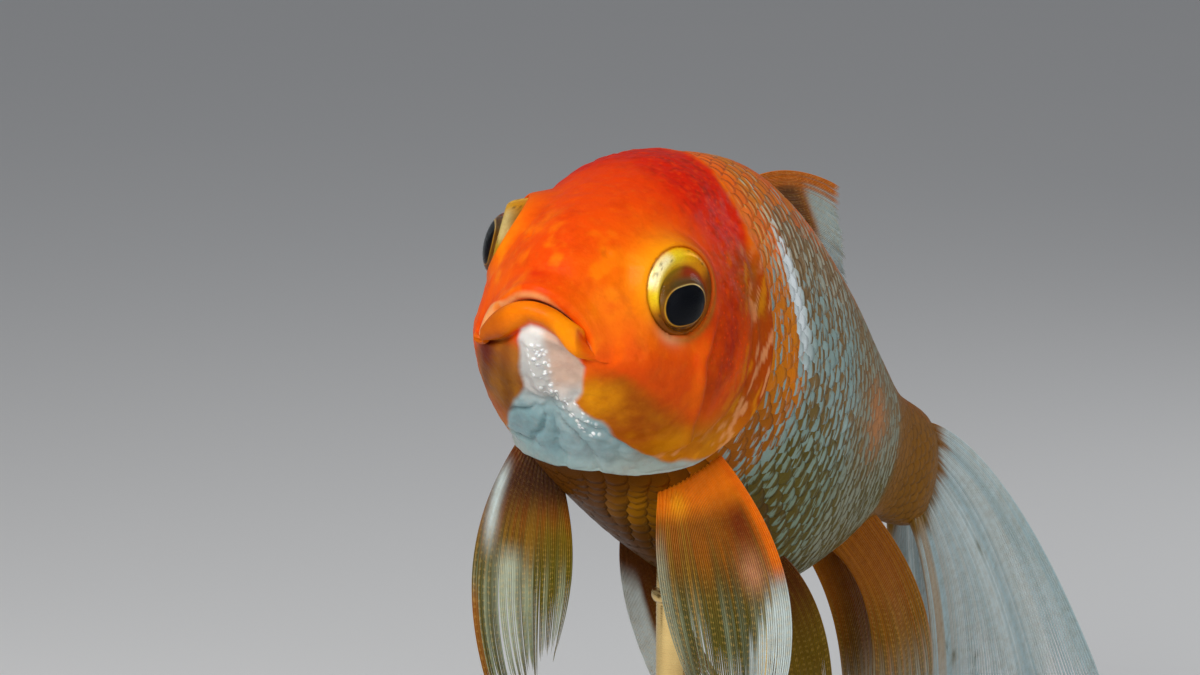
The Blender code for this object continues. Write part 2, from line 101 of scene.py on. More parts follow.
def smoothCurve(x, knots, values):
    span = np.diff(knots)[:, None]
    slope = np.diff(values, axis=0) / span
    tangent = np.zeros_like(values)
    tangent[1:-1] = (span[1:] * slope[:-1] + span[:-1] * slope[1:]) / (span[1:] + span[:-1])
    tangent[0], tangent[-1] = slope[0], slope[-1]
    i = np.clip(np.searchsorted(knots, x, side="right") - 1, 0, len(knots) - 2)
    h = span[i]
    t = ((x - knots[i]) / h[..., 0])[..., None]
    start = values[i] * (2 * t ** 3 - 3 * t ** 2 + 1) + h * tangent[i] * (t ** 3 - 2 * t ** 2 + t)
    end = values[i + 1] * (3 * t ** 2 - 2 * t ** 3) + h * tangent[i + 1] * (t ** 3 - t ** 2)
    return start + end


sectionRows = np.array(list(bodySections.values()))
outlines = [sectionRows[:, pair] for pair in ([0, 3], [1, 6], [2, 5])]        # top, side and bottom
sectionSteps = sum(np.linalg.norm(np.diff(outline, axis=0), axis=1) for outline in outlines) / 3
sectionKnots = np.concatenate([[0.0], np.cumsum(sectionSteps)])


# The smooth body, straight: along is mm from the gullet, angle is 0 at the back, + to the fish's left.
def bodySurface(along, angle):
    spots = np.moveaxis(smoothCurve(along, sectionKnots, sectionRows), -1, 0)
    topU, sideU, lowU, topZ, sideZ, lowZ, wide, roundAbove, roundBelow = spots
    c, s = np.cos(angle), np.sin(angle)
    above = c >= 0
    power = 2.0 / np.where(above, roundAbove, roundBelow)
    u = sideU + (np.where(above, topU, lowU) - sideU) * c ** 2
    z = sideZ + (np.where(above, topZ, lowZ) - sideZ) * np.abs(c) ** power
    return np.stack([u, wide * np.sign(s) * np.abs(s) ** power, z], -1)


# Turn of the bent centre line at each mm of the straight one, and how far back and aside it has run.
def centreLine():
    u = np.linspace(0.0, pose["longest"], pose["steps"])
    turn = math.radians(pose["bend"]) * ease(u, pose["bendFrom"], pose["bendTo"])
    runs = [np.concatenate([[0.0], np.cumsum((part[1:] + part[:-1]) / 2 * (u[1] - u[0]))])
            for part in (np.cos(turn), np.sin(turn))]
    return u, turn, *runs


spine = centreLine()


def posed(points):
    u, y, z = np.moveaxis(np.asarray(points, float), -1, 0)
    z = z - pose["twistAxis"]
    w = math.radians(pose["twist"]) * ease(u, pose["twistFrom"], pose["twistTo"])
    y, z = y * np.cos(w) - z * np.sin(w), y * np.sin(w) + z * np.cos(w) + pose["twistAxis"]
    turn, back, left = (np.interp(u, spine[0], run) for run in spine[1:])
    back = back + np.minimum(u, 0.0) - y * np.sin(turn)
    left = left + y * np.cos(turn)
    pitch, bank = math.radians(pose["pitch"]), math.radians(pose["bank"])
    rear = np.array([0.0, math.cos(pitch), -math.sin(pitch)])
    rise = np.array([0.0, math.sin(pitch), math.cos(pitch)])
    east = np.array([1.0, 0.0, 0.0])
    aside = east * math.cos(bank) - rise * math.sin(bank)
    upward = rise * math.cos(bank) + east * math.sin(bank)
    place = back[..., None] * rear + left[..., None] * aside + z[..., None] * upward
    return place + np.array(pose["snoutAt"])


# Smooth random value from -1 to 1 in space, with lumps about this size.
def cloud(points, size, seed):
    q = np.asarray(points, float) / size + 50.0 + seed * 7.31
    cell = np.floor(q).astype(np.int64)
    f = q - cell
    f = f * f * f * (f * (f * 6 - 15) + 10)
    total = np.zeros(q.shape[:-1])
    for corner in np.ndindex(2, 2, 2):
        n = (cell[..., 0] + corner[0]) * 73856093 ^ (cell[..., 1] + corner[1]) * 19349663
        n = (n ^ (cell[..., 2] + corner[2]) * 83492791 ^ (seed * 26543)) & 0x7fffffff
        n = ((n ^ (n >> 13)) * 1274126177) & 0x7fffffff
        value = ((n ^ (n >> 15)) & 0xffff) / 32767.5 - 1.0
        share = np.prod([f[..., k] if corner[k] else 1 - f[..., k] for k in range(3)], axis=0)
        total += value * share
    return total


def clouds(points, size, seed):
    return (cloud(points, size, seed) + 0.5 * cloud(points, size / 2.1, seed + 1)
            + 0.25 * cloud(points, size / 4.3, seed + 2)) / 1.4


def meshFrom(name, points, faces):
    mesh = bpy.data.meshes.new(name)
    mesh.from_pydata((np.asarray(points) * mm).tolist(), [], faces)
    mesh.polygons.foreach_set("use_smooth", [True] * len(mesh.polygons))
    mesh.update()
    item = bpy.data.objects.new(name, mesh)
    bpy.context.scene.collection.objects.link(item)
    return item


def readValues(values, name, width, kind=float):
    found = np.empty(len(values) * width, kind)
    values.foreach_get(name, found)
    return found.reshape(-1, width)


# Turns a closed mesh inside out if its faces point inwards, told by its signed volume.
def orientOutward(mesh):
    mesh.calc_loop_triangles()
    corners = readValues(mesh.loop_triangles, "vertices", 3, np.int32)
    places = readValues(mesh.vertices, "co", 3)
    tri = (places - places.mean(axis=0))[corners]
    if np.einsum("ij,ij->i", tri[:, 0], np.cross(tri[:, 1], tri[:, 2])).sum() < 0:
        mesh.flip_normals()


# Quads between rings of points, the rings one after the other.
def ringQuads(rings, sides):
    i, j = np.meshgrid(np.arange(rings - 1), np.arange(sides), indexing="ij")
    k = (j + 1) % sides
    quads = np.stack([i * sides + j, (i + 1) * sides + j, (i + 1) * sides + k, i * sides + k], -1)
    return quads.reshape(-1, 4).tolist()


# A closed piece from rings of points; a fan to one more point closes each end.
def closedPiece(name, rings, first, last):
    count, sides = rings.shape[:2]
    faces = ringQuads(count, sides)
    hub, low = count * sides, (count - 1) * sides
    faces += [(hub, j, (j + 1) % sides) for j in range(sides)]
    faces += [(hub + 1, low + (j + 1) % sides, low + j) for j in range(sides)]
    return meshFrom(name, np.concatenate([rings.reshape(-1, 3), [first, last]]), faces)


def giveColours(mesh, colours, name="markings"):
    rgba = np.ones((len(colours), 4))
    rgba[:, :3] = np.clip(colours, 0.0, 1.0)
    mesh.color_attributes.new(name, "FLOAT_COLOR", "POINT").data.foreach_set("color", rgba.ravel())


def giveValues(mesh, name, values):
    kind, slot = ("FLOAT", "value") if values.ndim == 1 else ("FLOAT_VECTOR", "vector")
    mesh.attributes.new(name, kind, "POINT").data.foreach_set(slot, values.ravel())


# Turns a finished piece's faces outwards, hangs it under the root, and hides the nodes that it is seen in
# place of.
def handOver(item, slot, *nodes):
    orientOutward(item.data)
    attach(item, "root")
    if nodes:
        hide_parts(*nodes)


def feed(tree, socket, value):
    if isinstance(value, bpy.types.NodeSocket):
        tree.links.new(value, socket)
    else:
        socket.default_value = value


# Inputs are given by name, or by number as _0, each a value or a socket to link from.
def addNode(tree, kind, settings=None, **inputs):
    node = tree.nodes.new(kind)
    for key, value in (settings or {}).items():
        setattr(node, key, value)
    for key, value in inputs.items():
        feed(tree, node.inputs[int(key[1:])] if key[0] == "_" else node.inputs[key], value)
    return node


# A material with the values that are the same all over it; place is the piece's own coordinates.
def newMaterial(name, finish):
    item = bpy.data.materials.new(name)
    item.use_nodes = True
    tree = item.node_tree
    shader = tree.nodes["Principled BSDF"]
    for key, value in finish.items():
        shader.inputs[key].default_value = value
    return item, tree, shader, addNode(tree, "ShaderNodeTexCoord").outputs["Object"]


def attribute(tree, name, output="Color"):
    return addNode(tree, "ShaderNodeAttribute", {"attribute_name": name}).outputs[output]


def components(tree, name):
    return addNode(tree, "ShaderNodeSeparateXYZ", Vector=attribute(tree, name, "Vector")).outputs


def noise(tree, place, scale, detail, roughness=0.5, distortion=0.0):
    return addNode(tree, "ShaderNodeTexNoise", Vector=place, Scale=scale, Detail=detail,
                   Roughness=roughness, Distortion=distortion).outputs["Fac"]


def cells(tree, place, scale, randomness=1.0):
    return addNode(tree, "ShaderNodeTexVoronoi", Vector=place, Scale=scale,
                   Randomness=randomness).outputs["Distance"]


def stretched(tree, place, scale):
    return addNode(tree, "ShaderNodeMapping", Vector=place, Scale=scale).outputs["Vector"]


def mixColour(tree, share, first, second, way="MIX"):
    first, second = (tone + (1.0,) if isinstance(tone, tuple) else tone for tone in (first, second))
    return addNode(tree, "ShaderNodeMix", {"data_type": "RGBA", "blend_type": way},
                   _0=share, _6=first, _7=second).outputs[2]


def calc(tree, way, first, second=0.0):
    return addNode(tree, "ShaderNodeMath", {"operation": way}, _0=first, _1=second).outputs[0]


def remap(tree, value, low, high, toLow=0.0, toHigh=1.0):
    return addNode(tree, "ShaderNodeMapRange", _0=value, _1=low, _2=high, _3=toLow, _4=toHigh).outputs[0]


# Adds one relief after the other to the shader: height, strength and depth in metres.
def addBumps(tree, shader, *reliefs):
    before = None
    for height, strength, depth in reliefs:
        node = addNode(tree, "ShaderNodeBump", Height=height, Strength=strength, Distance=depth)
        if before is not None:
            tree.links.new(before, node.inputs["Normal"])
        before = node.outputs[0]
    tree.links.new(before, shader.inputs["Normal"])


gill = {
    "sideAt": 43.7,        # mm along the body, at mid side
    "rise": 0.55,          # the edge stands this proud
    "tuck": 1.0,           # the body behind it starts this deep
    # how far along the body the cover's rear edge lies, by degrees from the back
    "edge": ((0, 37.2), (28, 35.4), (48, 36.0), (64, 38.8), (86, 43.4), (108, 43.4), (120, 41.2),
             (132, 38.6), (145, 34.6), (160, 30.2), (180, 28.6)),
}


def gillAlong(angle):
    knots, places = np.array(gill["edge"]).T
    return smoothCurve(fromBack(angle), knots, places[:, None])[..., 0]


def gillStrength(angle):
    return 0.45 + 0.55 * ease(fromBack(angle), 25, 60)


# Rows of the skin follow the gill edge: the row value sideAt runs exactly along it.
def rowAlong(row, angle):
    share = np.where(row < gill["sideAt"], ease(row, 9, gill["sideAt"]), ease(row, 92, gill["sideAt"]))
    return row + (gillAlong(angle) - gill["sideAt"]) * share


eyes = {
    "left": {"side": 1, "lift": 1.3, "apex": (12.5, 14.4, 5.0), "aim": (-0.31, 0.95, -0.02)},
    "right": {"side": -1, "lift": 0.4, "apex": (12.0, -14.3, 8.0), "aim": (-0.46, -0.89, -0.02)},
    "pupil": 2.95, "ringWidth": 0.36, "rim": 5.5,
    "sides": 72, "radii": ((0.25, 2.7, 9), (2.85, 4.1, 16), (4.2, 6.8, 26)),       # from, to, how many rings
    "back": ((6.5, -5.6), (5.6, -6.4), (4.0, -7.2), (2.0, -7.8), (0.4, -8.0)),     # radius and depth behind
}


# Apex, aim, forward and up of an eye on the straight fish.
def eyeFrame(which):
    aim = unit(np.array(eyes[which]["aim"]))
    up = np.array([0.0, 0.0, 1.0])
    up = unit(up - aim * (up @ aim))
    forward = np.cross(up, aim)
    return np.array(eyes[which]["apex"]), aim, -forward * np.sign(forward[0]), up


# Height of the eyeball's front above its apex, by distance from the middle.
def eyeHeight(r):
    pupil, ring = eyes["pupil"], eyes["ringWidth"]
    base = np.where(r < pupil, -0.42 * (r / pupil) ** 2, -0.42 - 0.55 * (r - pupil))
    base = base + 0.10 * hump(r - pupil - ring / 2, ring * 0.6) - 0.45 * hump(r - 3.65, 0.42)
    roll = -0.92 - 0.85 * np.maximum(r - 4.6, 0.0) ** 2 - 0.5 * hump(r - 3.7, 0.45)
    base = np.where(r > 3.65, np.maximum(base, roll), base)
    return np.where(r > 4.55, roll, base)


# Edge of the opening in the skin: wide above and in front, close in behind and below.
def eyeRim(phi, which):
    if which == "left":
        return eyes["rim"] - 0.15 + 0.40 * np.cos(phi) + 0.22 * np.sin(phi)
    return eyes["rim"] - 0.22 + 1.1 * np.cos(phi - 1.1)


# Distance from the ring's middle, angle round it (0 forward, 90 degrees up), and height along the aim.
def eyeDistance(points, which):
    apex, aim, forward, up = eyeFrame(which)
    away = points - apex
    ahead, high = away @ forward, away @ up - eyes[which]["lift"]
    return np.hypot(ahead, high), np.arctan2(high, ahead), away @ aim


# Tones of the fish, in the order in which the functions below use them.
paint = {
    "orange": (0.76, 0.058, 0.001), "amber": (0.84, 0.135, 0.0015), "yellowGlow": (0.92, 0.22, 0.001),
    "yellowFleck": (0.92, 0.24, 0.002), "redOrange": (0.70, 0.034, 0.001), "red": (0.60, 0.011, 0.001),
    "lowCap": (0.40, 0.028, 0.0005), "deepRed": (0.33, 0.008, 0.001), "litCap": (0.86, 0.045, 0.001),
    "lowCheek": (0.56, 0.082, 0.001), "umber": (0.30, 0.078, 0.001), "goldPatch": (0.74, 0.27, 0.001),
    "rust": (0.34, 0.052, 0.001), "gold": (0.66, 0.24, 0.004), "coverFleck": (0.76, 0.34, 0.14),
    "behindCap": (0.74, 0.16, 0.002), "darkStripe": (0.11, 0.034, 0.002), "paleStripe": (0.34, 0.14, 0.014),
    "cheekShadow": (0.12, 0.003, 0.001),
    "lipPeach": (0.80, 0.35, 0.12), "lipOrange": (0.78, 0.23, 0.035), "lipEdge": (0.92, 0.58, 0.36),
    "jawLobe": (0.72, 0.19, 0.020), "jaw": (0.82, 0.20, 0.001), "jawRight": (0.40, 0.065, 0.001),
    "jawLeft": (0.92, 0.27, 0.001), "mouthLine": (0.92, 0.46, 0.20), "pink": (0.84, 0.42, 0.20),
    "mouth": (0.50, 0.13, 0.06), "eyeGlow": (0.98, 0.52, 0.003), "olive": (0.24, 0.13, 0.012),
    "white": (0.50, 0.485, 0.455), "blueGrey": (0.25, 0.36, 0.37), "chin": (0.68, 0.66, 0.62),
    "deepBlue": (0.12, 0.26, 0.29), "slate": (0.22, 0.31, 0.33), "throatEnd": (0.34, 0.37, 0.31),
    "throatPink": (0.60, 0.38, 0.27),
    "palest": (0.31, 0.42, 0.40), "greyGreen": (0.21, 0.31, 0.29), "backCream": (0.46, 0.40, 0.27),
    "napeCream": (0.66, 0.54, 0.31), "whiteBand": (0.80, 0.87, 0.90), "lowPale": (0.19, 0.245, 0.155),
    "rearPale": (0.26, 0.26, 0.18), "napePale": (0.82, 0.42, 0.09),
    "backOrange": (0.84, 0.15, 0.001), "backAmber": (0.70, 0.20, 0.001), "flankGold": (0.58, 0.185, 0.003),
    "napeOrange": (1.0, 0.155, 0.001), "oliveBrown": (0.17, 0.125, 0.050), "lowFront": (0.28, 0.080, 0.001),
    "lowRear": (0.095, 0.075, 0.006), "flankPatch": (0.50, 0.19, 0.055), "belly": (0.090, 0.027, 0.001),
    "stalk": (0.24, 0.090, 0.001), "chestGold": (0.38, 0.145, 0.001),
}
girthPerDegree = 0.44        # mm round the body for each degree


# Lays coats of colour over the first; each coat is a tone, or its name, and how much of it shows.
def layered(*coats):
    tone = None
    for colour, share in coats:
        colour = paint[colour] if isinstance(colour, str) else colour
        tone = colour if tone is None else blend(tone, colour, share)
    return tone


# 1 on the white throat between the jaws, 0 on the coloured cheeks.
def throatMask(p):
    u, y, z = np.moveaxis(p, -1, 0)
    leftEdge = np.interp(u, (0, 1.6, 6.3, 9.4, 10.6, 13.2, 17, 19.6, 24.2, 28.8, 32),
                         (0.6, 2.7, 6.1, 5.0, 4.1, 6.7, 8.4, 9.7, 11.2, 13.4, 15.5))
    rightEdge = np.interp(u, (0, 2, 6.3, 9.6, 12.1, 14.7, 19, 25, 32),
                          (0.5, 1.8, 2.6, 3.0, 4.9, 6.4, 8.6, 11.4, 15.5))
    reach = np.where(y >= 0, leftEdge, rightEdge) + 0.28 * cloud(p, 2.2, 31)
    return ease(reach - np.abs(y), -0.35, 0.45) * ease(z, -2.0, -3.6)


def headColour(p, along, angle):
    u, y, z = np.moveaxis(p, -1, 0)
    deg, behind = fromBack(angle), along - gillAlong(angle)
    mottle, fine = clouds(p, 5.0, 3), clouds(p, 1.5, 9)
    # yellow glow in front of each eye, towards the mouth's corner
    glow = hump(farFrom(np.stack([u, np.abs(y), z], -1), (5.5, 8.6, 2.2), (1.0, 0.8, 0.75)), 4.6)
    glow = glow * (0.35 + 0.65 * ease(y, -2, 2)) * (0.7 + 0.3 * np.clip(fine, -1, 1))
    flecks = ease(cloud(p, 2.4, 25) + 0.3 * fine, 0.20, 0.70) * ease(np.abs(z - 6), 7, 2) * ease(u, 12, 6)
    # a red cap runs from the crest down behind the eye
    frontEdge = np.interp(deg, (0, 32, 55, 75, 95, 115), (15.5, 12.2, 14.0, 17.0, 17.2, 19.5))
    backEdge = np.interp(deg, (0, 30, 48, 62, 74, 95, 115), (27.0, 24.0, 25.0, 26.0, 25.8, 25.0, 23.5))
    wander = 1.1 * clouds(p, 4.0, 12) + 0.5 * fine
    cap = ease(u + wander, frontEdge, frontEdge + 4.4) * ease(deg, 126, 100)
    cap = cap * ease(u + 0.5 * wander, backEdge + 1.2, backEdge - 1.2)
    specks = ease(cloud(p, 0.55, 21) + 0.4 * cloud(p, 1.2, 22), 0.22, 0.6)
    low = ease(deg, 50, 92)
    capTone = layered(("red", 1), ("lowCap", low), ("deepRed", 0.6 * specks))
    litCap = ease(cloud(p, 0.7, 23), 0.30, 0.7) * cap * (1 - 0.5 * low)
    # cheek darkens downwards, partly as painted shade, with a golden patch before the fin, partly a painted
    # highlight, and a yellow one by the chin
    lowBand = ease(deg, 112, 126) * ease(deg, 172, 158) * ease(u, 6, 10)
    patch = hump(u - 10.5, 2.8) * hump(deg - 146, 14) + 0.8 * hump(u - 22.5, 3.2) * hump(deg - 130, 9)
    # gill cover, thin and brown towards its rear edge, with pale flecks
    cover = ease(behind, -10.5, -3) * ease(deg, 48, 66)
    coverTone = layered(("rust", 1), ("umber", ease(clouds(p, 2.5, 40), -0.2, 0.5)),
                        ("gold", 0.6 * ease(deg, 100, 120)))
    tall = cloud(p * (1.7, 1.0, 0.45), 1.1, 41)
    # the fish's right cheek is paler, with soft upright streaks whose tones are darkened partly as painted
    # shade, and a painted shadow under the jaw's lobe
    rightCheek = (y < 0) * ease(deg, 116, 132) * ease(u, 3, 5.5) * ease(u, 18, 13)
    stripes = 0.5 + 0.5 * np.sin(angle * 17 + 1.6 * mottle + 0.6 * fine)
    return layered(
        ("orange", 1),
        ("amber", 0.75 * ease(mottle + 0.45 * fine, 0, 0.8)),
        ("yellowGlow", 0.9 * glow),
        ("yellowFleck", 0.5 * flecks),
        ("redOrange", 0.85 * ease(u + mottle, 5, 17) * ease(deg, 92, 60)),
        (capTone, 0.95 * cap),
        ("litCap", 0.45 * litCap),
        # darker downwards: partly painted shade
        ("lowCheek", 0.65 * ease(z, 3, -9) * ease(u, 7, 14)),
        ("umber", 0.8 * lowBand),
        # the patch before the fin is partly a painted highlight
        ("goldPatch", 0.9 * np.clip(patch + 0.25 * fine * lowBand, 0, 1)),
        (coverTone, 0.9 * cover),
        ("coverFleck", 0.6 * ease(tall, 0.36, 0.62) * cover * ease(behind, -7, -3)),
        ("gold", 0.55 * ease(tall, -0.30, -0.60) * cover),
        ("behindCap", 0.9 * ease(u, backEdge - 0.5, backEdge + 1) * ease(deg, 66, 52)),
        # streak tones partly painted shade; the next coat is a painted shadow under the jaw's lobe
        (layered(("darkStripe", 1), ("paleStripe", 0.5 * stripes + 0.5 * ease(u, 10, 5))), 0.85 * rightCheek),
        ("cheekShadow", 0.85 * (y < 0) * hump(deg - 131, 15) * hump(u - 8, 3.4)),
    )


# Lips, mouth and the ring of colour round each eye.
def faceDetail(colour, p, along, deg):
    y = p[..., 1]
    end, split, past, shut = jawEnd(p, deg), lipSplit(p, along), pastCorner(p), mouthShut(p)
    upper = ease(deg, 104, 90)
    lipTo = 4.5 + 4.6 * ease(y, -1.5, -6.5) * ease(deg, 35, 80) - 0.8 * ease(y, 1, 5)
    lipTo = lipTo + 1.2 * ease(y, 2, 4.5) * ease(deg, 62, 86)
    lip = ease(along, 2.6, 3) * ease(along, lipTo + 0.4, lipTo - 0.4) * upper
    lipTone = layered(("lipPeach", 1), ("lipOrange", ease(clouds(p, 1.6, 50), -0.1, 0.6)))
    jaw = ease(along, 3.2, 3.8) * ease(along, end + 0.5, end - 0.3)
    jaw = jaw * ease(deg, split - 16 * past, split + 10 + 8 * past)
    jaw = jaw * (1 - 0.45 * ease(y, 3, 5.6) * ease(deg, 128, 110))
    line = hump(deg - split + 9, 5 + 0.15 * (split - 98)) * ease(along, 3, 3.8) * ease(along, 6.4, 5.4)
    colour = layered(
        (colour, 1),
        (lipTone, 0.9 * lip),
        ("lipEdge", 0.8 * hump(along - 3.25, 0.38) * upper * (1 - shut)),
        ("jawLobe", 0.6 * hump(deg - 100, 7) * hump(along - end + 1.2, 1.6) * ease(y, 2, 0)),
        ("jaw", 0.85 * jaw),
        ("jawRight", 0.7 * jaw * ease(y, -1.5, -5)),
        ("jawLeft", 0.7 * jaw * ease(y, 1, 4)),
        ("mouthLine", 0.9 * line * ease(y, 1, 3) * (1 - shut)),
        ("pink", 0.85 * hump(along - 3.40, 0.34) * ease(deg, 100, 118)),
        ("red", 0.55 * hump(farFrom(p, (1.4, -1.2, 3.5), (1.0, 0.55, 1.3)), 0.9)),
        ("mouth", ease(along, 3, 2.5)),
    )
    for which, bright in (("left", 0.9), ("right", 0.25)):
        ring, phi, _ = eyeDistance(p, which)
        same = y * eyes[which]["side"] > 0
        front = 0.5 + 0.5 * np.cos(phi - 0.35)
        glow = hump(ring - 5.9, 1.5) * front ** 2 * ease(front, 0.3, 0.9)
        colour = layered(
            (colour, 1),
            ("eyeGlow", 0.9 * bright * glow * same),
            ("amber", 0.55 * bright * hump(ring - 7, 3) * (0.3 + 0.7 * front) * same),
            ("olive", 0.7 * hump(ring - 5.6, 0.5) * (1 - front) * same),
            # pink spot just below the eye: a painted glint
            ("pink", 0.5 * hump(ring - 5.9, 0.7) * hump(phi + 1.5, 0.35) * same),
        )
    return colour


def throatColour(p):
    u, y, _ = np.moveaxis(p, -1, 0)
    return layered(
        ("white", 1),
        # blue-grey towards the rear of the throat, darkened partly as painted shade
        ("blueGrey", ease(u + 2 * clouds(p, 3.0, 60), 9, 13.5)),
        # lighter towards the chin, partly a painted highlight
        ("chin", ease(u, 6, 3.2)),
        # painted shade and reflection, blue, on the throat's right side towards its rear
        ("deepBlue", 0.5 * ease(y, 3, -1) * ease(u, 9.5, 12.5)),
        ("slate", 0.30 * ease(clouds(p, 1.4, 61), 0.25, 0.8) * ease(u, 8, 13)),
        ("throatEnd", 0.7 * ease(u, 17, 23)),
        ("throatPink", 0.85 * ease(y, 0.9, 2.4) * ease(u, 10, 7.5)),
    )


# 0 for pale, 1 for warm, in broad zones over the scaled body.
def flankShare(p, along, angle):
    u, deg, behind = p[..., 0], fromBack(angle), along - gillAlong(angle)
    share = 0.47 + 0.14 * clouds(p * (1.4, 0.6, 0.5), 6.0, 71) + 0.14 * ease(behind, 8, 4.5)
    share += 0.12 * ease(behind, 5, 2) * ease(deg, 66, 50)
    share += 0.20 * ease(deg, 52, 24) * ease(u, 60, 44)
    share -= 1.00 * hump(behind - 10.2, 1.6) * ease(deg, 52, 62) * ease(deg, 92, 80)        # white band
    share += 0.26 * hump(behind - 7.2, 1.1) * ease(deg, 62, 72) * ease(deg, 112, 100)
    share += 0.15 * hump(behind - 14, 3) * ease(deg, 74, 58)
    share -= 0.14 * ease(behind, 9, 14) * hump(deg - 82, 14) * ease(u, 66, 58)
    share += 0.60 * ease(deg, 126, 142) * ease(u, 60, 46)                                   # chest and belly
    share += 0.50 * hump(u - 70.6, 3.6) * hump(deg - 88, 9.5)                               # rusty patch
    share += 1.10 * ease(u, 82, 87)                                                         # tail stalk
    share += 0.8 * ease(deg, 140, 150) * ease(u, 62, 52)
    return np.clip(share, -0.3, 1.6)


# The pale and the warm colour of the streaks at a place.
def flankTones(p, along, angle):
    u, deg, behind = p[..., 0], fromBack(angle), along - gillAlong(angle)
    back = ease(deg, 70, 52) * ease(u, 66, 56)
    low = ease(deg, 92, 112)
    pale = layered(
        ("palest", 1),
        ("greyGreen", 0.5 + 0.5 * np.clip(clouds(p, 5.0, 80), -1, 1)),
        ("backCream", 0.80 * back * ease(behind, 9, 14)),
        ("napeCream", 0.85 * back * hump(behind - 8.5, 4.5)),
        ("whiteBand", hump(behind - 10.2, 2.2) * ease(deg, 44, 56) * ease(deg, 92, 74)),
        ("lowPale", 0.8 * ease(deg, 96, 122) * ease(behind, 6, 14)),
        ("rearPale", 0.85 * ease(u, 58, 66)),
        ("napePale", 0.95 * ease(behind, 9, 4) * ease(deg, 66, 50)),
    )
    warm = layered(
        ("backOrange", 1),
        ("backAmber", ease(clouds(p, 4.0, 81), -0.3, 0.5)),
        ("flankGold", 0.70 * ease(deg, 54, 72)),
        ("napeOrange", 0.8 * ease(behind, 8, 3) * ease(deg, 60, 40)),
        ("oliveBrown", 0.90 * ease(behind, 8.5, 12.5) * ease(deg, 30, 50)),
        ("lowFront", 0.8 * low * ease(behind, 12, 6)),
        ("lowRear", 0.85 * low * ease(behind, 6, 13)),
        ("flankPatch", 0.9 * hump(u - 70.6, 4.4) * hump(deg - 88, 14)),
        # the dark tone of chest and belly is partly painted shade
        ("belly", 0.94 * ease(deg, 124, 142) * ease(u, 60, 44)),
        ("stalk", 0.9 * ease(u, 81, 86)),
        ("chestGold", hump(deg - 158, 11) * hump(u - 33, 4.4) * (angle > 0)),
    )
    return pale, warm


# Place on the body in mm: along it, and round it from the back.
def girthPlace(along, angle):
    return np.stack([along, np.degrees(angle) * girthPerDegree, np.zeros_like(along)], -1)


# The fish's colour at a place on its body; skin and scales both use it.
def markings(p, along, angle):
    deg, behind = fromBack(angle), along - gillAlong(angle)
    head = faceDetail(headColour(p, along, angle), p, along, deg)
    pale, warm = flankTones(p, along, angle)
    streak = clouds(girthPlace(along, angle) * (1.0, 0.24, 1.0), 1.5, 77)
    body = blend(pale, warm, ease(flankShare(p, along, angle) + 0.45 * streak, 0.40, 0.60))
    nape = ease(deg, 55, 22)
    scaled = ease(behind, 0, 0.5) * (1 - nape) + nape * ease(behind + 1.2 * clouds(p, 2.5, 90), -1.5, 2)
    return layered((head, 1), (throatColour(p), throatMask(p) * ease(along - jawEnd(p, deg), 0, 0.7)),
                   (body, scaled))


skin = {
    "columns": 288, "scaleDepth": 0.36, "wrinkle": 0.34,
    # number of a row, and how far along the body it lies: closest at the lips and the gill edge
    "rows": ((0, 0), (10, 2.5), (66, 9.5), (150, 30), (188, 42.7), (206, 44.3), (228, 52), (301, 117.4)),
    "nostrils": ((1, 8.0), (-1, 8.7)),                # side and height
    "finRoot": (32.0, 11.5, -12.5),                   # flesh at the root of each pectoral fin
    "pinch": (11.0, 0.4, -10.6),                      # spot on the throat that its folds spread from
}
skinRows = np.interp(np.arange(skin["rows"][-1][0] + 1), *np.transpose(skin["rows"]))


def surfaceNormals(points):
    across = np.roll(points, -1, axis=1) - np.roll(points, 1, axis=1)
    normal = unit(np.cross(across, np.gradient(points, axis=0)))
    centre = points.mean(axis=1, keepdims=True)
    return normal * np.sign((normal * (points - centre))[20:].sum())


# Where the lower jaw's roll ends, along the body; it reaches further back on the fish's right.
def jawEnd(p, deg):
    onLeft = np.interp(deg, (90, 108, 120, 130, 138, 144, 148, 152, 156, 166, 180),
                       (6.4, 7.3, 8.1, 8.7, 8.8, 8.3, 7.6, 6.9, 6.4, 6.0, 5.9))
    onRight = np.interp(deg, (88, 108, 126, 150, 165, 180), (11.0, 10.4, 9.5, 8.1, 6.8, 5.9))
    left = ease(p[..., 1], -0.8, 0.8)
    return onRight * (1 - left) + onLeft * left


# 1 behind the left corner of the mouth, where lip and jaw run into the cheek.
def pastCorner(p):
    return ease(p[..., 1], 5, 8.4)


# 1 where the slit of the mouth has closed at its left corner.
def mouthShut(p):
    return ease(p[..., 1], 4.7, 6.1)


# Angle at which upper lip and lower jaw meet; at the left corner the upper lip hangs over.
def lipSplit(p, along):
    return 98 + 30 * ease(along, 3.3, 5.2) * ease(p[..., 1], 2, 4.5)


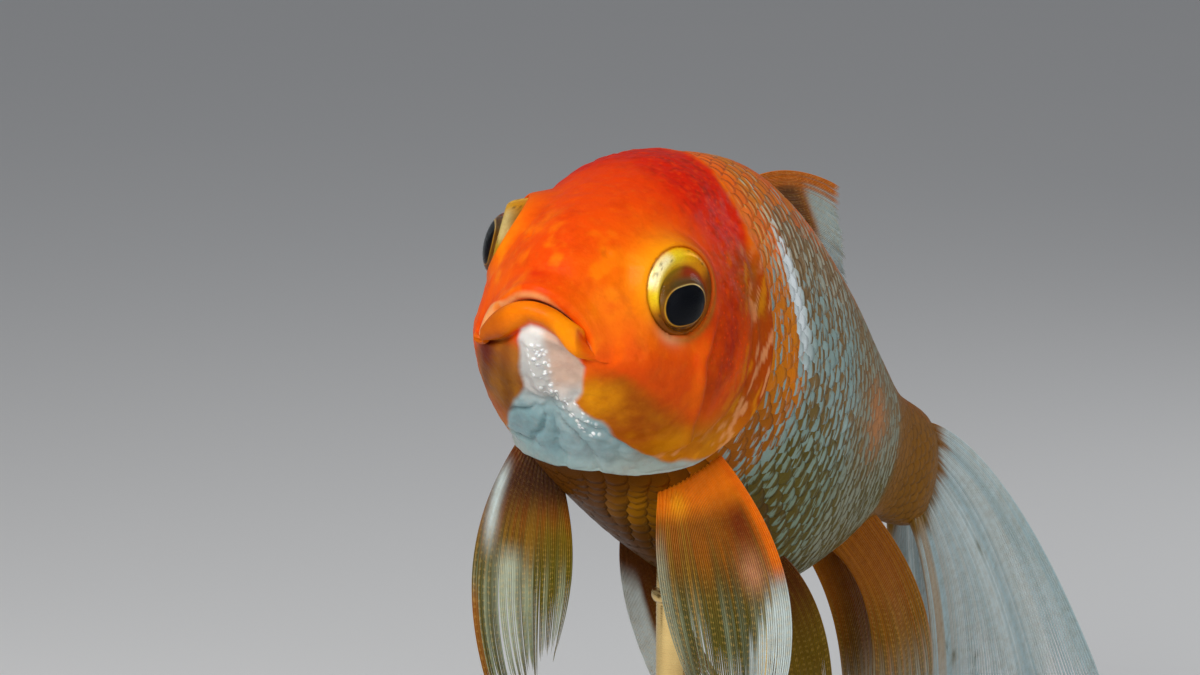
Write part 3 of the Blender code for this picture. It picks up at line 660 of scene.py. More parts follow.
def lipRelief(p, along, deg):
    y = p[..., 1]
    end, split, past = jawEnd(p, deg), lipSplit(p, along), pastCorner(p)
    upper = ease(deg, split + 4, split - 12)
    lower = ease(deg, split - 4 - 14 * past, split + 8 + 18 * past)
    right = ease(y, -1, -5)
    rise = 0.42 * hump(along - 3.9, 0.65) * upper * (1 - 0.3 * ease(y, 1, 5))
    rise += 0.75 * hump(along - 6.4, 2.2) * upper * right * ease(deg, 35, 75)
    rise -= 0.10 * hump(along - 5.2, 0.40) * upper * (1 - right) * (1 - 0.6 * ease(deg, 50, 85))
    rise -= 0.16 * hump(along - 8.4, 0.9) * ease(deg, 75, 40)
    # the roll of the lower jaw, and the groove behind it
    middle, half = (end + 3.1) / 2, (end - 3.1) / 2
    roll = np.clip(1 - ((along - middle) / half) ** 2, 0, 1)
    corner = ease(y, 3, 5.6) * ease(deg, 128, 110)
    rise += 0.95 * roll ** 0.9 * lower * (1 - 0.95 * corner)
    rise += 0.12 * hump(along - 3.15, 0.30) * lower
    rise -= 0.60 * hump(along - end - 0.5, 0.5) * lower * (1 - corner) * (1 - 0.7 * past)
    # the gap of the mouth, and the crease that runs on from it between lip and jaw
    rise -= 0.35 * hump(along - 2.7, 0.45) * (1 - 0.4 * ease(np.abs(y), 2, 5))
    stop = end + (6.2 - end) * ease(y, 2, 4)
    crease = hump(deg - split + 6 * right, 3 + (split - 98) * 0.20)
    crease = crease * ease(along, 2.6, 3.4) * ease(along, stop - 0.2, stop - 1.6)
    rise -= 0.55 * (1 - mouthShut(p)) * crease
    rise += 0.55 * hump(deg - 104, 11) * hump(along - end + 0.7, 1.3) * ease(y, 2, 0)
    rise += 0.45 * hump(deg - 130, 14) * hump(along - 7, 2) * ease(y, 2, 4.5)
    return rise


# Where the glistening beads of the throat lie: down the ridge's edge and along its arm.
def wetBeads(p, deg):
    u, y, _ = np.moveaxis(p, -1, 0)
    line = np.interp(u, (2, 6, 9.5, 10.3, 13, 18), (0.4, 0.9, 1.6, 2.9, 5.0, 7.8))
    return hump(y - line + 0.3, 1) * ease(u, 2.6, 4.4) * ease(u, 16, 13) * ease(deg, 115, 132)


def throatRelief(p, along, deg):
    u, y, _ = np.moveaxis(p, -1, 0)
    white = throatMask(p)
    skinFolds = ease(deg, 128, 142) * ease(along, 8, 11) * white
    fan = np.arctan2(y - 0.4, u - 9.6)                  # folds spread back from the pinched spot
    folds = np.sin(7 * fan + 0.10 * (u - 10) + 1.8 * cloud(p, 4.5, 101) + 0.5 * cloud(p, 1.8, 102))
    folds = 1 - 2 * (1 - np.abs(folds)) ** 2
    rise = skin["wrinkle"] * folds * skinFolds * ease(u, 10.5, 13.5) + 0.10 * clouds(p, 1.6, 105) * skinFolds
    # ridge of wet skin from the chin to the pinched spot, then an arm along the cheek
    chin = ease(u, 2.2, 3.8) * ease(u, 10.6, 8.8) * ease(deg, 120, 145)
    rise += 0.85 * hump(y + 0.1, 1.35 + 0.05 * u) * chin
    arm = np.interp(u, (8, 10.3, 13, 18), (1.6, 2.9, 5.0, 7.8))
    armShare = ease(u, 8, 10) * ease(u, 20, 14) * ease(deg, 110, 130)
    rise += 0.50 * (hump(y - arm, 0.85) + 0.6 * hump(-y - arm, 0.9)) * armShare
    rise += 0.26 * np.maximum(cloud(p, 0.42, 104), 0) * wetBeads(p, deg)
    # the coloured cheek stands over the throat skin
    rise -= 0.35 * white * ease(along, 7, 9) * (1 - 0.6 * ease(u, 20, 28))
    away = p - skin["pinch"]
    r = np.linalg.norm(away, axis=-1)
    star = np.cos(9 * np.arctan2(away[..., 1], away[..., 0]) + 1.2 * cloud(p, 1.5, 103))
    return rise - 0.75 * hump(r, 0.75) + 0.16 * star * hump(r - 2.4, 1.7)


def headRelief(p, along, angle):
    u, _, z = np.moveaxis(p, -1, 0)
    deg, behind = fromBack(angle), along - gillAlong(angle)
    rise = lipRelief(p, along, deg) + throatRelief(p, along, deg)
    for side, height in skin["nostrils"]:               # each a pit with a flap before it
        nostril = np.array([5.4, side * 5.6, height])
        rise += 0.16 * hump(farFrom(p, nostril + (-0.9, side * 0.3, 0.9)), 0.9)
        rise -= 0.40 * hump(farFrom(p, nostril, (1.0, 1.0, 0.8)), 0.5)
    # cheek bone under the eye, front edge of the gill cover, soft swells of the head
    ridge = np.interp(z, (-10, -8, -0.6, 4), (25.5, 23.3, 19.2, 19.6))
    side = ease(deg, 70, 84) * ease(deg, 134, 122)
    rise += 0.42 * hump(u - ridge + 0.9, 1.1) * side - 0.40 * hump(u - ridge - 0.5, 0.7) * side
    rise -= 0.22 * hump(behind + 4.6, 0.55) * ease(deg, 60, 75) * ease(deg, 145, 132)
    rise += 0.16 * clouds(p, 5.5, 110) * ease(along, 9, 13)
    rise += 0.45 * hump(u - 19, 7) * ease(deg, 50, 25)
    rise += 0.10 * clouds(p, 1.7, 111) * ease(along, 8, 12)
    rise += 0.09 * cloud(p, 0.62, 112) * ease(u, 16, 22) * ease(deg, 110, 90)
    return rise * (1 - 0.999 * ease(behind, -0.4, 0.3))


def skinShape(row, angle):
    along = rowAlong(row, angle)
    p = bodySurface(along, angle)
    past = row - gill["sideAt"]
    flare = gill["rise"] * ease(past, -3, -0.1) * (past <= 0)
    drop = -gill["tuck"] * ease(past, 0, 0.30) * ease(past, 6, 1.2)
    lip = gill["rise"] * ease(past, 0.30, 0)
    rise = headRelief(p, along, angle) + gillStrength(angle) * (flare + np.where(past > 0, drop + lip, 0.0))
    rise = rise - skin["scaleDepth"] * ease(past, -0.2, 2.2)
    for side in (1, -1):
        root = np.array(skin["finRoot"]) * (1, side, 1)
        rise = rise + 0.9 * hump(farFrom(p, root, (0.8, 0.9, 0.6)), 3) * ease(past, 0.5, 3)
    shape = p + surfaceNormals(p) * rise[..., None]
    for which in ("left", "right"):
        shape = aroundEye(shape, which)
    return p, along, shape


# Opens the skin round an eye; it sinks towards the golden ring and rolls up against it.
def aroundEye(shape, which):
    ring, phi, height = eyeDistance(shape, which)
    same = (shape[..., 1] * eyes[which]["side"] > 0) & (ring < 13)
    rim = eyeRim(phi, which)
    level = eyeHeight(rim) + 0.06
    share = ease(ring, rim + np.where(height < level, 2.2, 3.6), rim + 0.1)
    wanted = level * share + height * (1 - share) + 0.22 * hump(ring - rim - 0.45, 0.45)
    wanted = wanted - 2.6 * ease(rim - ring, -0.15, 0.35)
    moved = shape + eyeFrame(which)[1] * (wanted - height)[..., None]
    return np.where(same[..., None], moved, shape)


def buildSkin():
    columns = skin["columns"]
    angle = 2 * math.pi * (np.arange(columns) + 0.5) / columns - math.pi
    row, turn = np.meshgrid(skinRows, angle, indexing="ij")
    place, along, shape = skinShape(row, turn)
    colours = markings(place, along, turn)
    ends = posed(np.stack([shape[0].mean(axis=0), shape[-1].mean(axis=0) + (0.5, 0.0, 0.0)]))
    item = closedPiece("fishSkin", posed(shape), *ends)
    endColours = [colours[0].mean(axis=0), colours[-1].mean(axis=0)]
    giveColours(item.data, np.concatenate([colours.reshape(-1, 3), endColours]))
    deg, past = fromBack(turn), along - gillAlong(turn)
    grain = ease(place[..., 0], 15, 21) * ease(deg, 112, 90) * (1 - ease(past, -6, -2) * gillStrength(turn))
    beads = wetBeads(place, deg)
    wet = throatMask(place) * ease(along, 6, 8) * ease(past, 0, -0.5)
    wet = np.clip(0.45 * wet + 0.55 * beads, 0, 1)
    for name, values in (("grain", grain), ("wet", wet), ("beads", beads)):
        giveValues(item.data, name, np.append(values, [0.0, 0.0]))
    unwrap(item.data)
    return item


# Where a place on the skin lies on its unwrap: across by angle, along by row.
def skinSpot(rowPlace, columnPlace):
    across, down = columnPlace / skin["columns"], rowPlace / (len(skinRows) - 1)
    return np.stack(np.broadcast_arrays(0.01 + 0.98 * across, 0.01 + 0.98 * down), -1)


def unwrap(mesh):
    columns, rows = np.arange(skin["columns"]), len(skinRows)
    i, j = np.meshgrid(np.arange(rows - 1), columns, indexing="ij")
    quads = [skinSpot(i + down, j + across) for down, across in ((0, 0), (1, 0), (1, 1), (0, 1))]
    front = [skinSpot(down, columns + across) for down, across in ((-0.4, 0.5), (0, 0), (0, 1))]
    rear = [skinSpot(rows - down, columns + across) for down, across in ((0.6, 0.5), (1, 1), (1, 0))]
    uv = np.concatenate([np.stack(part, -2).reshape(-1, 2) for part in (quads, front, rear)])
    mesh.uv_layers.new(name="OFBake").data.foreach_set("uv", uv.ravel())


def fishSkinMaterial():
    item, tree, shader, place = newMaterial("wetFishSkin", {
        "Specular IOR Level": 0.05, "Subsurface Weight": 0.06, "Subsurface Radius": (1.0, 0.35, 0.15),
        "Subsurface Scale": 0.0012, "Coat Roughness": 0.12})
    colour = attribute(tree, "markings")
    grain, wet, beadZone = (attribute(tree, name, "Fac") for name in ("grain", "wet", "beads"))
    blotch, veins = noise(tree, place, 900, 5, 0.6), noise(tree, place, 260, 8, 0.68)
    pores, grains, drops = cells(tree, place, 2300), cells(tree, place, 1300, 0.9), cells(tree, place, 1250)
    blotches = remap(tree, blotch, 0.52, 0.72, 0.0, 0.30)
    veinShare = remap(tree, veins, 0.50, 0.66, 0.0, 0.22)
    lighter = mixColour(tree, blotches, colour, (1.0, 0.30, 0.02), "SCREEN")
    lighter = mixColour(tree, 0.22, colour, lighter)
    veined = mixColour(tree, veinShare, lighter, (0.45, 0.10, 0.06), "MULTIPLY")
    speckShare = calc(tree, "MULTIPLY", remap(tree, grains, 0.30, 0.12, 0.0, 0.40), grain)
    speckled = mixColour(tree, speckShare, veined, (0.90, 0.06, 0.002))
    dropShape = calc(tree, "MULTIPLY", remap(tree, drops, 0.42, 0.10), remap(tree, beadZone, 0.25, 0.7))
    # painted glints: near-white base colour on the wet beads of the throat
    paintedGlint = calc(tree, "MULTIPLY", remap(tree, drops, 0.46, 0.28), remap(tree, beadZone, 0.10, 0.40))
    feed(tree, shader.inputs["Base Color"], mixColour(tree, paintedGlint, speckled, (0.98, 0.98, 0.96)))
    rough = remap(tree, blotch, 0.3, 0.7, 0.38, 0.50)
    feed(tree, shader.inputs["Roughness"], calc(tree, "SUBTRACT", rough, calc(tree, "MULTIPLY", wet, 0.30)))
    feed(tree, shader.inputs["Coat Weight"], remap(tree, wet, 0.0, 1.0, 0.03, 0.8))
    addBumps(tree, shader, (calc(tree, "MULTIPLY", grains, grain), 0.35, 0.00020), (pores, 0.18, 0.00010),
             (veins, 0.22, 0.00030), (dropShape, 0.9, 0.00035))
    return item


fishSkin = buildSkin()
fishSkin.data.materials.append(fishSkinMaterial())
handOver(fishSkin, "skin_head",
         "head", "lower_jaw", "gill_cover_left", "gill_cover_right", "trunk", "tail_stalk")
print("skin:", len(fishSkin.data.polygons), "faces")


paint.update({
    "groove": (0.19, 0.052, 0.001), "irisDark": (0.035, 0.026, 0.006), "rustyBand": (0.46, 0.030, 0.001),
    "irisRear": (0.34, 0.09, 0.002), "irisGold": (0.74, 0.27, 0.001), "brightGold": (1.0, 0.50, 0.001),
    "yellowShine": (1.0, 0.76, 0.02), "paleShine": (1.0, 0.93, 0.56), "browShade": (0.095, 0.070, 0.020),
    "ringGold": (0.80, 0.42, 0.03), "ringPale": (1.0, 0.78, 0.30), "pupil": (0.004, 0.004, 0.006),
    "eyeBack": (0.10, 0.05, 0.02),
})
cornea = {"radius": 4.1, "top": 0.75, "depth": 2.1, "lean": 0.35, "skirt": 1.5, "sides": 64, "rings": 16}


# Gold ring, brown groove, bright golden crescent with a painted highlight on its front; the second value is
# how metallic it is.
def eyeColours(r, phi, points, which):
    pupil = eyes["pupil"]
    # shine: how strong the painted highlight on the crescent is
    frontAt, least, shine = (0.70, 0.40, 0.9) if which == "left" else (1.7, 0.62, 0.3)
    front = 0.5 + 0.5 * np.cos(phi - frontAt)               # 1 on the upper front of the ring
    ahead = 0.5 + 0.5 * np.cos(phi - 0.30)
    above = ease(np.sin(phi), 0.1, 0.8)
    grainy = cloud(points, 0.35, 5)
    veins = ease(cloud(points, 0.42, 8) + 0.3 * grainy, 0.60, 0.72)
    ring = hump(r - pupil - 0.08, 0.065)
    tone = layered(
        ("groove", 1),
        ("irisDark", 0.85 * hump(r - 3.30, 0.17) * (0.55 + 0.45 * np.sin(phi))),
        ("rustyBand", 0.95 * hump(r - 3.78, 0.44) * hump(phi - 1.75, 0.85)),
        ("irisRear", 0.8 * ease(r, 4, 4.6) * ease(front, 0.35, 0.05)),
        ("irisGold", ease(r, 3.95, 4.15) * ease(front, least, least + 0.3)),
        ("brightGold", ease(r, 4, 4.35) * ease(front, least + 0.30, 0.92)),
        # painted highlight on the crescent: yellow round a pale core
        ("yellowShine", shine * hump(r - 4.95, 0.9) * ease(ahead, 0.72, 0.92)),
        ("paleShine", shine * hump(r - 5.25, 0.55) * ease(ahead, 0.91, 0.985)),
        ("irisDark", 0.6 * veins * ease(r, 4.1, 4.4)),
        ("browShade", 0.75 * hump(r - 3.38, 0.22) * above),
        ("irisGold", 0.45 * (1 - above) * ease(grainy, 0, 0.6) * ease(r, 3.25, 3.5) * ease(r, 4, 3.7)),
        (layered(("ringGold", 1), ("ringPale", above)), 0.9 * ring),
        ("pupil", r < pupil - 0.02),
        ("eyeBack", r > 8),
    )
    return tone, np.clip(0.10 + 0.5 * ring + 0.15 * ease(front, 0.4, 0.8) * ease(r, 3.9, 4.3), 0, 0.6)


# Rings of points round an eye: radius and angle about its middle, which sits this high, and height.
def eyeRings(which, r, turn, lift, height):
    apex, aim, forward, up = eyeFrame(which)
    high = r * np.sin(turn) + lift
    return apex + (r * np.cos(turn))[..., None] * forward + high[..., None] * up + height[..., None] * aim


def buildEye(which):
    lift = eyes[which]["lift"]
    phi = 2 * math.pi * np.arange(eyes["sides"]) / eyes["sides"]
    radii = np.concatenate([np.linspace(*stretch) for stretch in eyes["radii"]])
    r, turn = np.meshgrid(radii, phi, indexing="ij")
    oval = 0.17 * np.cos(2 * (turn + 0.49)) + 0.03 * np.cos(turn + 2.4) - 0.02        # of the pupil's edge
    front = eyeRings(which, r * (1 + oval * ease(r, 4.3, 3.3)), turn, lift * ease(r, 3.1, 4.7), eyeHeight(r))
    backRadii, backDepth = np.array(eyes["back"]).T
    rBack, turnBack = np.meshgrid(backRadii, phi, indexing="ij")
    back = eyeRings(which, rBack, turnBack, lift * 0.7, backDepth[:, None] + 0 * rBack)
    rings = np.concatenate([front, back])
    ends = np.stack([eyeFrame(which)[0], rings[-1].mean(axis=0)])
    item = closedPiece("eyeBall" + which.capitalize(), posed(rings), *posed(ends))
    distance = np.concatenate([r.ravel(), rBack.ravel() + 10, [0, 20]])
    around = np.concatenate([turn.ravel(), turnBack.ravel(), [0, 0]])
    colours, shine = eyeColours(distance, around, np.concatenate([rings.reshape(-1, 3), ends]), which)
    giveColours(item.data, colours)
    giveValues(item.data, "shine", shine)
    for finish in eyeFinishes:
        item.data.materials.append(finish)
    middle = np.array([distance[list(face.vertices)].mean() for face in item.data.polygons])
    inIris = (middle >= eyes["pupil"] - 0.02).astype(np.int32)
    item.data.polygons.foreach_set("material_index", inIris)
    handOver(item, "eye", "eye_" + which)


# Clear dome over iris and pupil; its skirt ends inside the golden ring.
def buildCornea(which):
    apex, aim, _, up = eyeFrame(which)
    bow = np.linspace(0.0, math.pi / 2, cornea["rings"] + 1)[1:]
    phi = 2 * math.pi * np.arange(cornea["sides"]) / cornea["sides"]
    bow, turn = np.meshgrid(bow, phi, indexing="ij")
    lift = eyes[which]["lift"] * cornea["lean"]
    height = cornea["top"] - cornea["depth"] * (1 - np.cos(bow))
    rings = eyeRings(which, cornea["radius"] * np.sin(bow), turn, lift, height)
    tip = apex + cornea["top"] * aim + lift * up
    base = rings[-1].mean(axis=0) - cornea["skirt"] * aim
    item = closedPiece("cornea" + which.capitalize(), posed(rings), *posed(np.stack([tip, base])))
    item.data.materials.append(corneaFinish)
    handOver(item, "eye")


def pupilMaterial():
    item, tree, shader, place = newMaterial("pupilBlack", {"Specular IOR Level": 0.04})
    haze = noise(tree, place, 500, 3)
    black = mixColour(tree, haze, (0.002, 0.002, 0.003), (0.007, 0.008, 0.012))
    feed(tree, shader.inputs["Base Color"], black)
    feed(tree, shader.inputs["Roughness"], remap(tree, haze, 0.3, 0.7, 0.04, 0.08))
    return item


def irisMaterial():
    item, tree, shader, place = newMaterial("goldenIris", {
        "Specular IOR Level": 0.08, "Coat Weight": 0.05, "Coat Roughness": 0.05})
    fibres = noise(tree, place, 3200, 4, 0.7)
    veined = mixColour(tree, remap(tree, fibres, 0.35, 0.7, 0.0, 0.35), attribute(tree, "markings"),
                       (0.5, 0.22, 0.05), "MULTIPLY")
    feed(tree, shader.inputs["Base Color"], veined)
    feed(tree, shader.inputs["Metallic"], attribute(tree, "shine", "Fac"))
    feed(tree, shader.inputs["Roughness"], remap(tree, fibres, 0.3, 0.7, 0.24, 0.42))
    addBumps(tree, shader, (fibres, 0.25, 0.00012))
    return item


def corneaMaterial():
    item, tree, shader, place = newMaterial("clearCornea", {"Transmission Weight": 1.0, "IOR": 1.12})
    haze = noise(tree, place, 300, 2)
    feed(tree, shader.inputs["Base Color"], mixColour(tree, haze, (0.96, 0.99, 0.99), (0.90, 0.97, 0.98)))
    feed(tree, shader.inputs["Roughness"], remap(tree, haze, 0.3, 0.7, 0.005, 0.02))
    return item


eyeFinishes, corneaFinish = (pupilMaterial(), irisMaterial()), corneaMaterial()
for which in ("left", "right"):
    buildEye(which)
    buildCornea(which)
print("eyes: done")


scales = {
    "firstRow": 41.4, "throatRow": 42.5, "lastRow": 112.0, "throatFrom": 118,     # the last in degrees
    "step": (1.75, 1.45), "width": (2.7, 2.05),      # exposed length and width, at the front and the rear
    "overlap": 2.8, "spread": 1.34,
    "rootDepth": 0.23, "edgeDepth": 0.08,            # below the smooth body, at the root and the free edge
    "thickness": 0.045, "jitter": 0.05, "seed": 7,
    "segments": 14, "rings": 3, "middle": 0.46, "roundness": 2.5,                 # of one plate
    "patch": 0.003,                                  # size of a scale's place on the unwrap
    "bodyColumns": 160, "bodyRows": 150, "bodyFrom": 30.0, "bodyTo": 117.4,       # of the form they lie on
}


# One scale: a thin round-edged plate, root at y = 0 and free edge at y = 1, with closed underside.
def scalePlate():
    segments, rings, middle, power = (scales[key] for key in ("segments", "rings", "middle", "roundness"))
    a = 2 * math.pi * np.arange(segments) / segments
    x, y = np.sin(a), -np.cos(a)
    squash = (np.abs(x) ** power + np.abs(y) ** power) ** (-1 / power)
    scallop = np.where(y > 0, 1 - 0.006 * np.abs(np.cos(3 * a)), 1.0)
    outline = np.c_[0.5 * x, y * np.where(y > 0, 1 - middle, middle) * scallop] * squash[:, None]
    steps = np.arange(1, rings + 1) / rings
    sizes = [*steps ** 0.85, 0.97]                   # of the rings; the last is the underside
    flat = np.concatenate([[(0.0, 0.0)], *(outline * size for size in sizes)]) + (0.0, middle)
    ring = 1 + np.arange((rings + 1) * segments).reshape(rings + 1, segments)
    after = np.roll(ring, -1, axis=1)
    faces = [(0, second, first) for first, second in zip(ring[0].tolist(), after[0].tolist())]
    faces += np.stack([ring[:-1], after[:-1], after[1:], ring[1:]], -1).reshape(-1, 4).tolist()
    faces.append(ring[-1].tolist())
    item = meshFrom("scalePlate", np.c_[flat, np.zeros(len(flat))] / mm, faces)
    across, down = flat[:, 0] + 0.5, flat[:, 1]
    edge = np.concatenate([[0.0], np.repeat(steps, segments), np.ones(segments)])
    rise = 0.05 * (1 - (2 * across - 1) ** 2) - 0.03 * edge ** 4
    rise -= scales["rootDepth"] * (1 - down) ** 1.1 + scales["edgeDepth"] * down
    rise[-segments:] -= scales["thickness"]
    giveValues(item.data, "rise", rise * mm)
    giveValues(item.data, "plateSpot", np.c_[across, down, np.zeros(len(flat))])
    return item


# Smooth copy of the body that the scales are laid on.
def bodyForm():
    columns, rows = scales["bodyColumns"], scales["bodyRows"]
    angle = 2 * math.pi * (np.arange(columns) + 0.5) / columns - math.pi
    row, turn = np.meshgrid(np.linspace(scales["bodyFrom"], scales["bodyTo"], rows), angle, indexing="ij")
    shape = posed(bodySurface(rowAlong(row, turn), turn))
    item = meshFrom("bodyForm", shape.reshape(-1, 3), ringQuads(rows, columns))
    giveValues(item.data, "outward", surfaceNormals(shape).reshape(-1, 3))
    return item


# Rows run parallel to the mid side and end at the back and belly, staggered like tiles.
def scalePlaces():
    random = np.random.default_rng(scales["seed"])
    row, spots, shift = scales["firstRow"], [], 0.0
    fine = np.linspace(0.0, math.pi, 400)
    while row < scales["lastRow"]:
        share = (row - scales["firstRow"]) / (scales["lastRow"] - scales["firstRow"])
        step, width = (front + (rear - front) * share for front, rear in (scales["step"], scales["width"]))
        for side in (1, -1):
            curve = bodySurface(rowAlong(np.full(len(fine), row), side * fine), side * fine)
            length = np.concatenate([[0.0], np.cumsum(np.linalg.norm(np.diff(curve, axis=0), axis=1))])
            middle = np.interp(math.radians(88.0), fine, length)
            for place in middle + (np.arange(-24, 25) + shift) * width:
                angle = side * np.interp(place, length, fine)
                onThroat = row < scales["throatRow"] and abs(angle) > math.radians(scales["throatFrom"])
                if -0.45 * width < place < length[-1] + 0.45 * width and not onThroat:
                    along = row + random.normal(0, scales["jitter"] * step)
                    spots.append((along, angle, side, step, width))
        row += step
        shift = 0.5 - shift
    return np.array(spots)


# Where each scale's root lies, how it is turned and how large it is.
def scalePoints(spots):
    random = np.random.default_rng(scales["seed"] + 1)
    row, angle, _, step, width = spots.T
    straight = bodySurface(rowAlong(row, angle), angle)
    here = posed(straight)
    lie = unit(posed(bodySurface(rowAlong(row + 0.5, angle), angle)) - here)
    aside = posed(bodySurface(rowAlong(row, angle + 0.01), angle + 0.01)) - here
    normal = unit(np.cross(aside, lie))
    inside = posed(np.c_[straight[:, 0], np.zeros(len(row)), np.full(len(row), 2.0)])
    normal *= np.sign(((here - inside) * normal).sum(axis=1, keepdims=True))
    turns = []
    for axes in zip(np.cross(lie, normal), lie, normal):
        wobble = Matrix.Rotation(random.normal(0, 0.045), 3, "Z")
        turns.append((Matrix(axes).transposed() @ wobble).to_euler()[:])
    size = np.c_[width * scales["spread"], step * scales["overlap"], np.ones(len(row))]
    return here, np.array(turns), size * random.normal(1.0, 0.04, (len(row), 1)) * mm


# Colours at every corner of every scale, from its own place on the body.
def scaleColours(spots, plateSpot, which):
    random = np.random.default_rng(scales["seed"] + 2)
    row, angle, _, step, width = spots[which].T
    row = row + plateSpot[:, 1] * step * scales["overlap"]
    angle = angle - np.radians((plateSpot[:, 0] - 0.5) * width * scales["spread"] / girthPerDegree)
    along = rowAlong(row, angle)
    p = bodySurface(along, angle)
    pale, warm = flankTones(p, along, angle)
    shade = random.normal(1.0, 0.035, (len(spots), 1))[which]
    lean = random.normal(0.0, 0.035, len(spots))[which]
    return pale * shade, warm * shade, flankShare(p, along, angle) + lean, girthPlace(row, angle)


# Lays a plate on every point, presses all of them onto the body and makes them real.
def coverTree(name):
    tree = bpy.data.node_groups.new(name, "GeometryNodeTree")
    face = tree.interface
    for label, kind in (("Geometry", "Geometry"), ("Plate", "Object"), ("Body", "Object"), ("Lift", "Float"),
                        ("Finish", "Material")):
        face.new_socket(label, in_out="INPUT", socket_type="NodeSocket" + kind)
    face.new_socket("Geometry", in_out="OUTPUT", socket_type="NodeSocketGeometry")
    given = tree.nodes.new("NodeGroupInput").outputs

    def add(kind, output, settings=None, **inputs):
        return addNode(tree, kind, settings, **inputs).outputs[output]

    vector = {"data_type": "FLOAT_VECTOR"}
    plate = add("GeometryNodeObjectInfo", "Geometry", Object=given["Plate"])
    body = add("GeometryNodeObjectInfo", "Geometry", Object=given["Body"])
    turn, size, outward = (add("GeometryNodeInputNamedAttribute", "Attribute", vector, Name=label)
                           for label in ("turn", "plateSize", "outward"))
    rise = add("GeometryNodeInputNamedAttribute", "Attribute", {"data_type": "FLOAT"}, Name="rise")
    turned = add("FunctionNodeEulerToRotation", "Rotation", Euler=turn)
    laid = add("GeometryNodeInstanceOnPoints", "Instances", Points=given["Geometry"], Instance=plate,
               Rotation=turned, Scale=size)
    real = add("GeometryNodeRealizeInstances", "Geometry", Geometry=laid)
    nearest = add("GeometryNodeProximity", "Position", {"target_element": "FACES"}, _0=body)
    normal = add("GeometryNodeSampleNearestSurface", "Value", vector, Mesh=body, Value=outward)
    height = calc(tree, "ADD", rise, given["Lift"])
    push = add("ShaderNodeVectorMath", 0, {"operation": "SCALE"}, _0=normal, Scale=height)
    place = add("ShaderNodeVectorMath", 0, {"operation": "ADD"}, _0=nearest, _1=push)
    pressed = add("GeometryNodeSetPosition", "Geometry", Geometry=real, Position=place)
    done = add("GeometryNodeSetMaterial", "Geometry", Geometry=pressed, Material=given["Finish"])
    tree.links.new(done, tree.nodes.new("NodeGroupOutput").inputs["Geometry"])
    return tree


# Puts the tree on an object, sets its inputs by identifier and returns the plain result.
def runTree(item, tree, values):
    step = item.modifiers.new(tree.name, "NODES")
    step.node_group = tree
    for socket in tree.interface.items_tree:
        if socket.in_out == "INPUT" and socket.name in values:
            step[socket.identifier] = values[socket.name]
    graph = bpy.context.evaluated_depsgraph_get()
    result = bpy.data.meshes.new_from_object(item.evaluated_get(graph))
    item.modifiers.remove(step)
    return result


def scaleMaterial():
    item, tree, shader, place = newMaterial("pearlyScale", {
        "Specular IOR Level": 0.05, "Coat Weight": 0.02, "Coat Roughness": 0.15})
    across, down, _ = components(tree, "plateSpot")
    grain = noise(tree, place, 1500, 5, 0.65)
    # growth rings round a point near the root
    across = calc(tree, "SUBTRACT", across, 0.5)
    side = calc(tree, "MULTIPLY", calc(tree, "MULTIPLY", across, across), 2.6)
    length = calc(tree, "POWER", calc(tree, "SUBTRACT", down, 0.15), 2.0)
    radius = calc(tree, "SQRT", calc(tree, "ADD", side, length))
    growth = calc(tree, "SINE", calc(tree, "MULTIPLY", radius, 62.0))
    # warm streaks over the pale tone, ragged and broken at the scales' edges
    drawn = stretched(tree, attribute(tree, "bodyPlace", "Vector"), (1.25, 0.24, 1.0))
    roughened = calc(tree, "MULTIPLY", calc(tree, "SUBTRACT", grain, 0.5), 0.12)
    ragged = calc(tree, "ADD", noise(tree, drawn, 1, 3, 0.55, 0.3), roughened)
    edge = calc(tree, "MULTIPLY", calc(tree, "SUBTRACT", attribute(tree, "share", "Fac"), 0.5), 0.50)
    fromMiddle = calc(tree, "ABSOLUTE", calc(tree, "SUBTRACT", down, 0.78))
    dash = remap(tree, fromMiddle, 0.02, 0.12, -0.055, 0.080)
    warm = remap(tree, calc(tree, "ADD", calc(tree, "ADD", ragged, edge), dash), 0.45, 0.54)
    streaked = mixColour(tree, warm, attribute(tree, "markings"), attribute(tree, "between"))
    # painted shade: darker towards the root, where the scale in front overlaps it
    shaded = mixColour(tree, remap(tree, down, 0.60, 0.74, 0.95, 1.0), (0.0, 0.0, 0.0), streaked)
    grainShare = remap(tree, grain, 0.45, 0.7, 0.0, 0.18)
    grained = mixColour(tree, grainShare, shaded, (0.55, 0.42, 0.30), "MULTIPLY")
    feed(tree, shader.inputs["Base Color"], grained)
    feed(tree, shader.inputs["Roughness"], remap(tree, grain, 0.3, 0.7, 0.34, 0.50))
    addBumps(tree, shader, (growth, 0.12, 0.00006), (grain, 0.20, 0.00010))
    return item


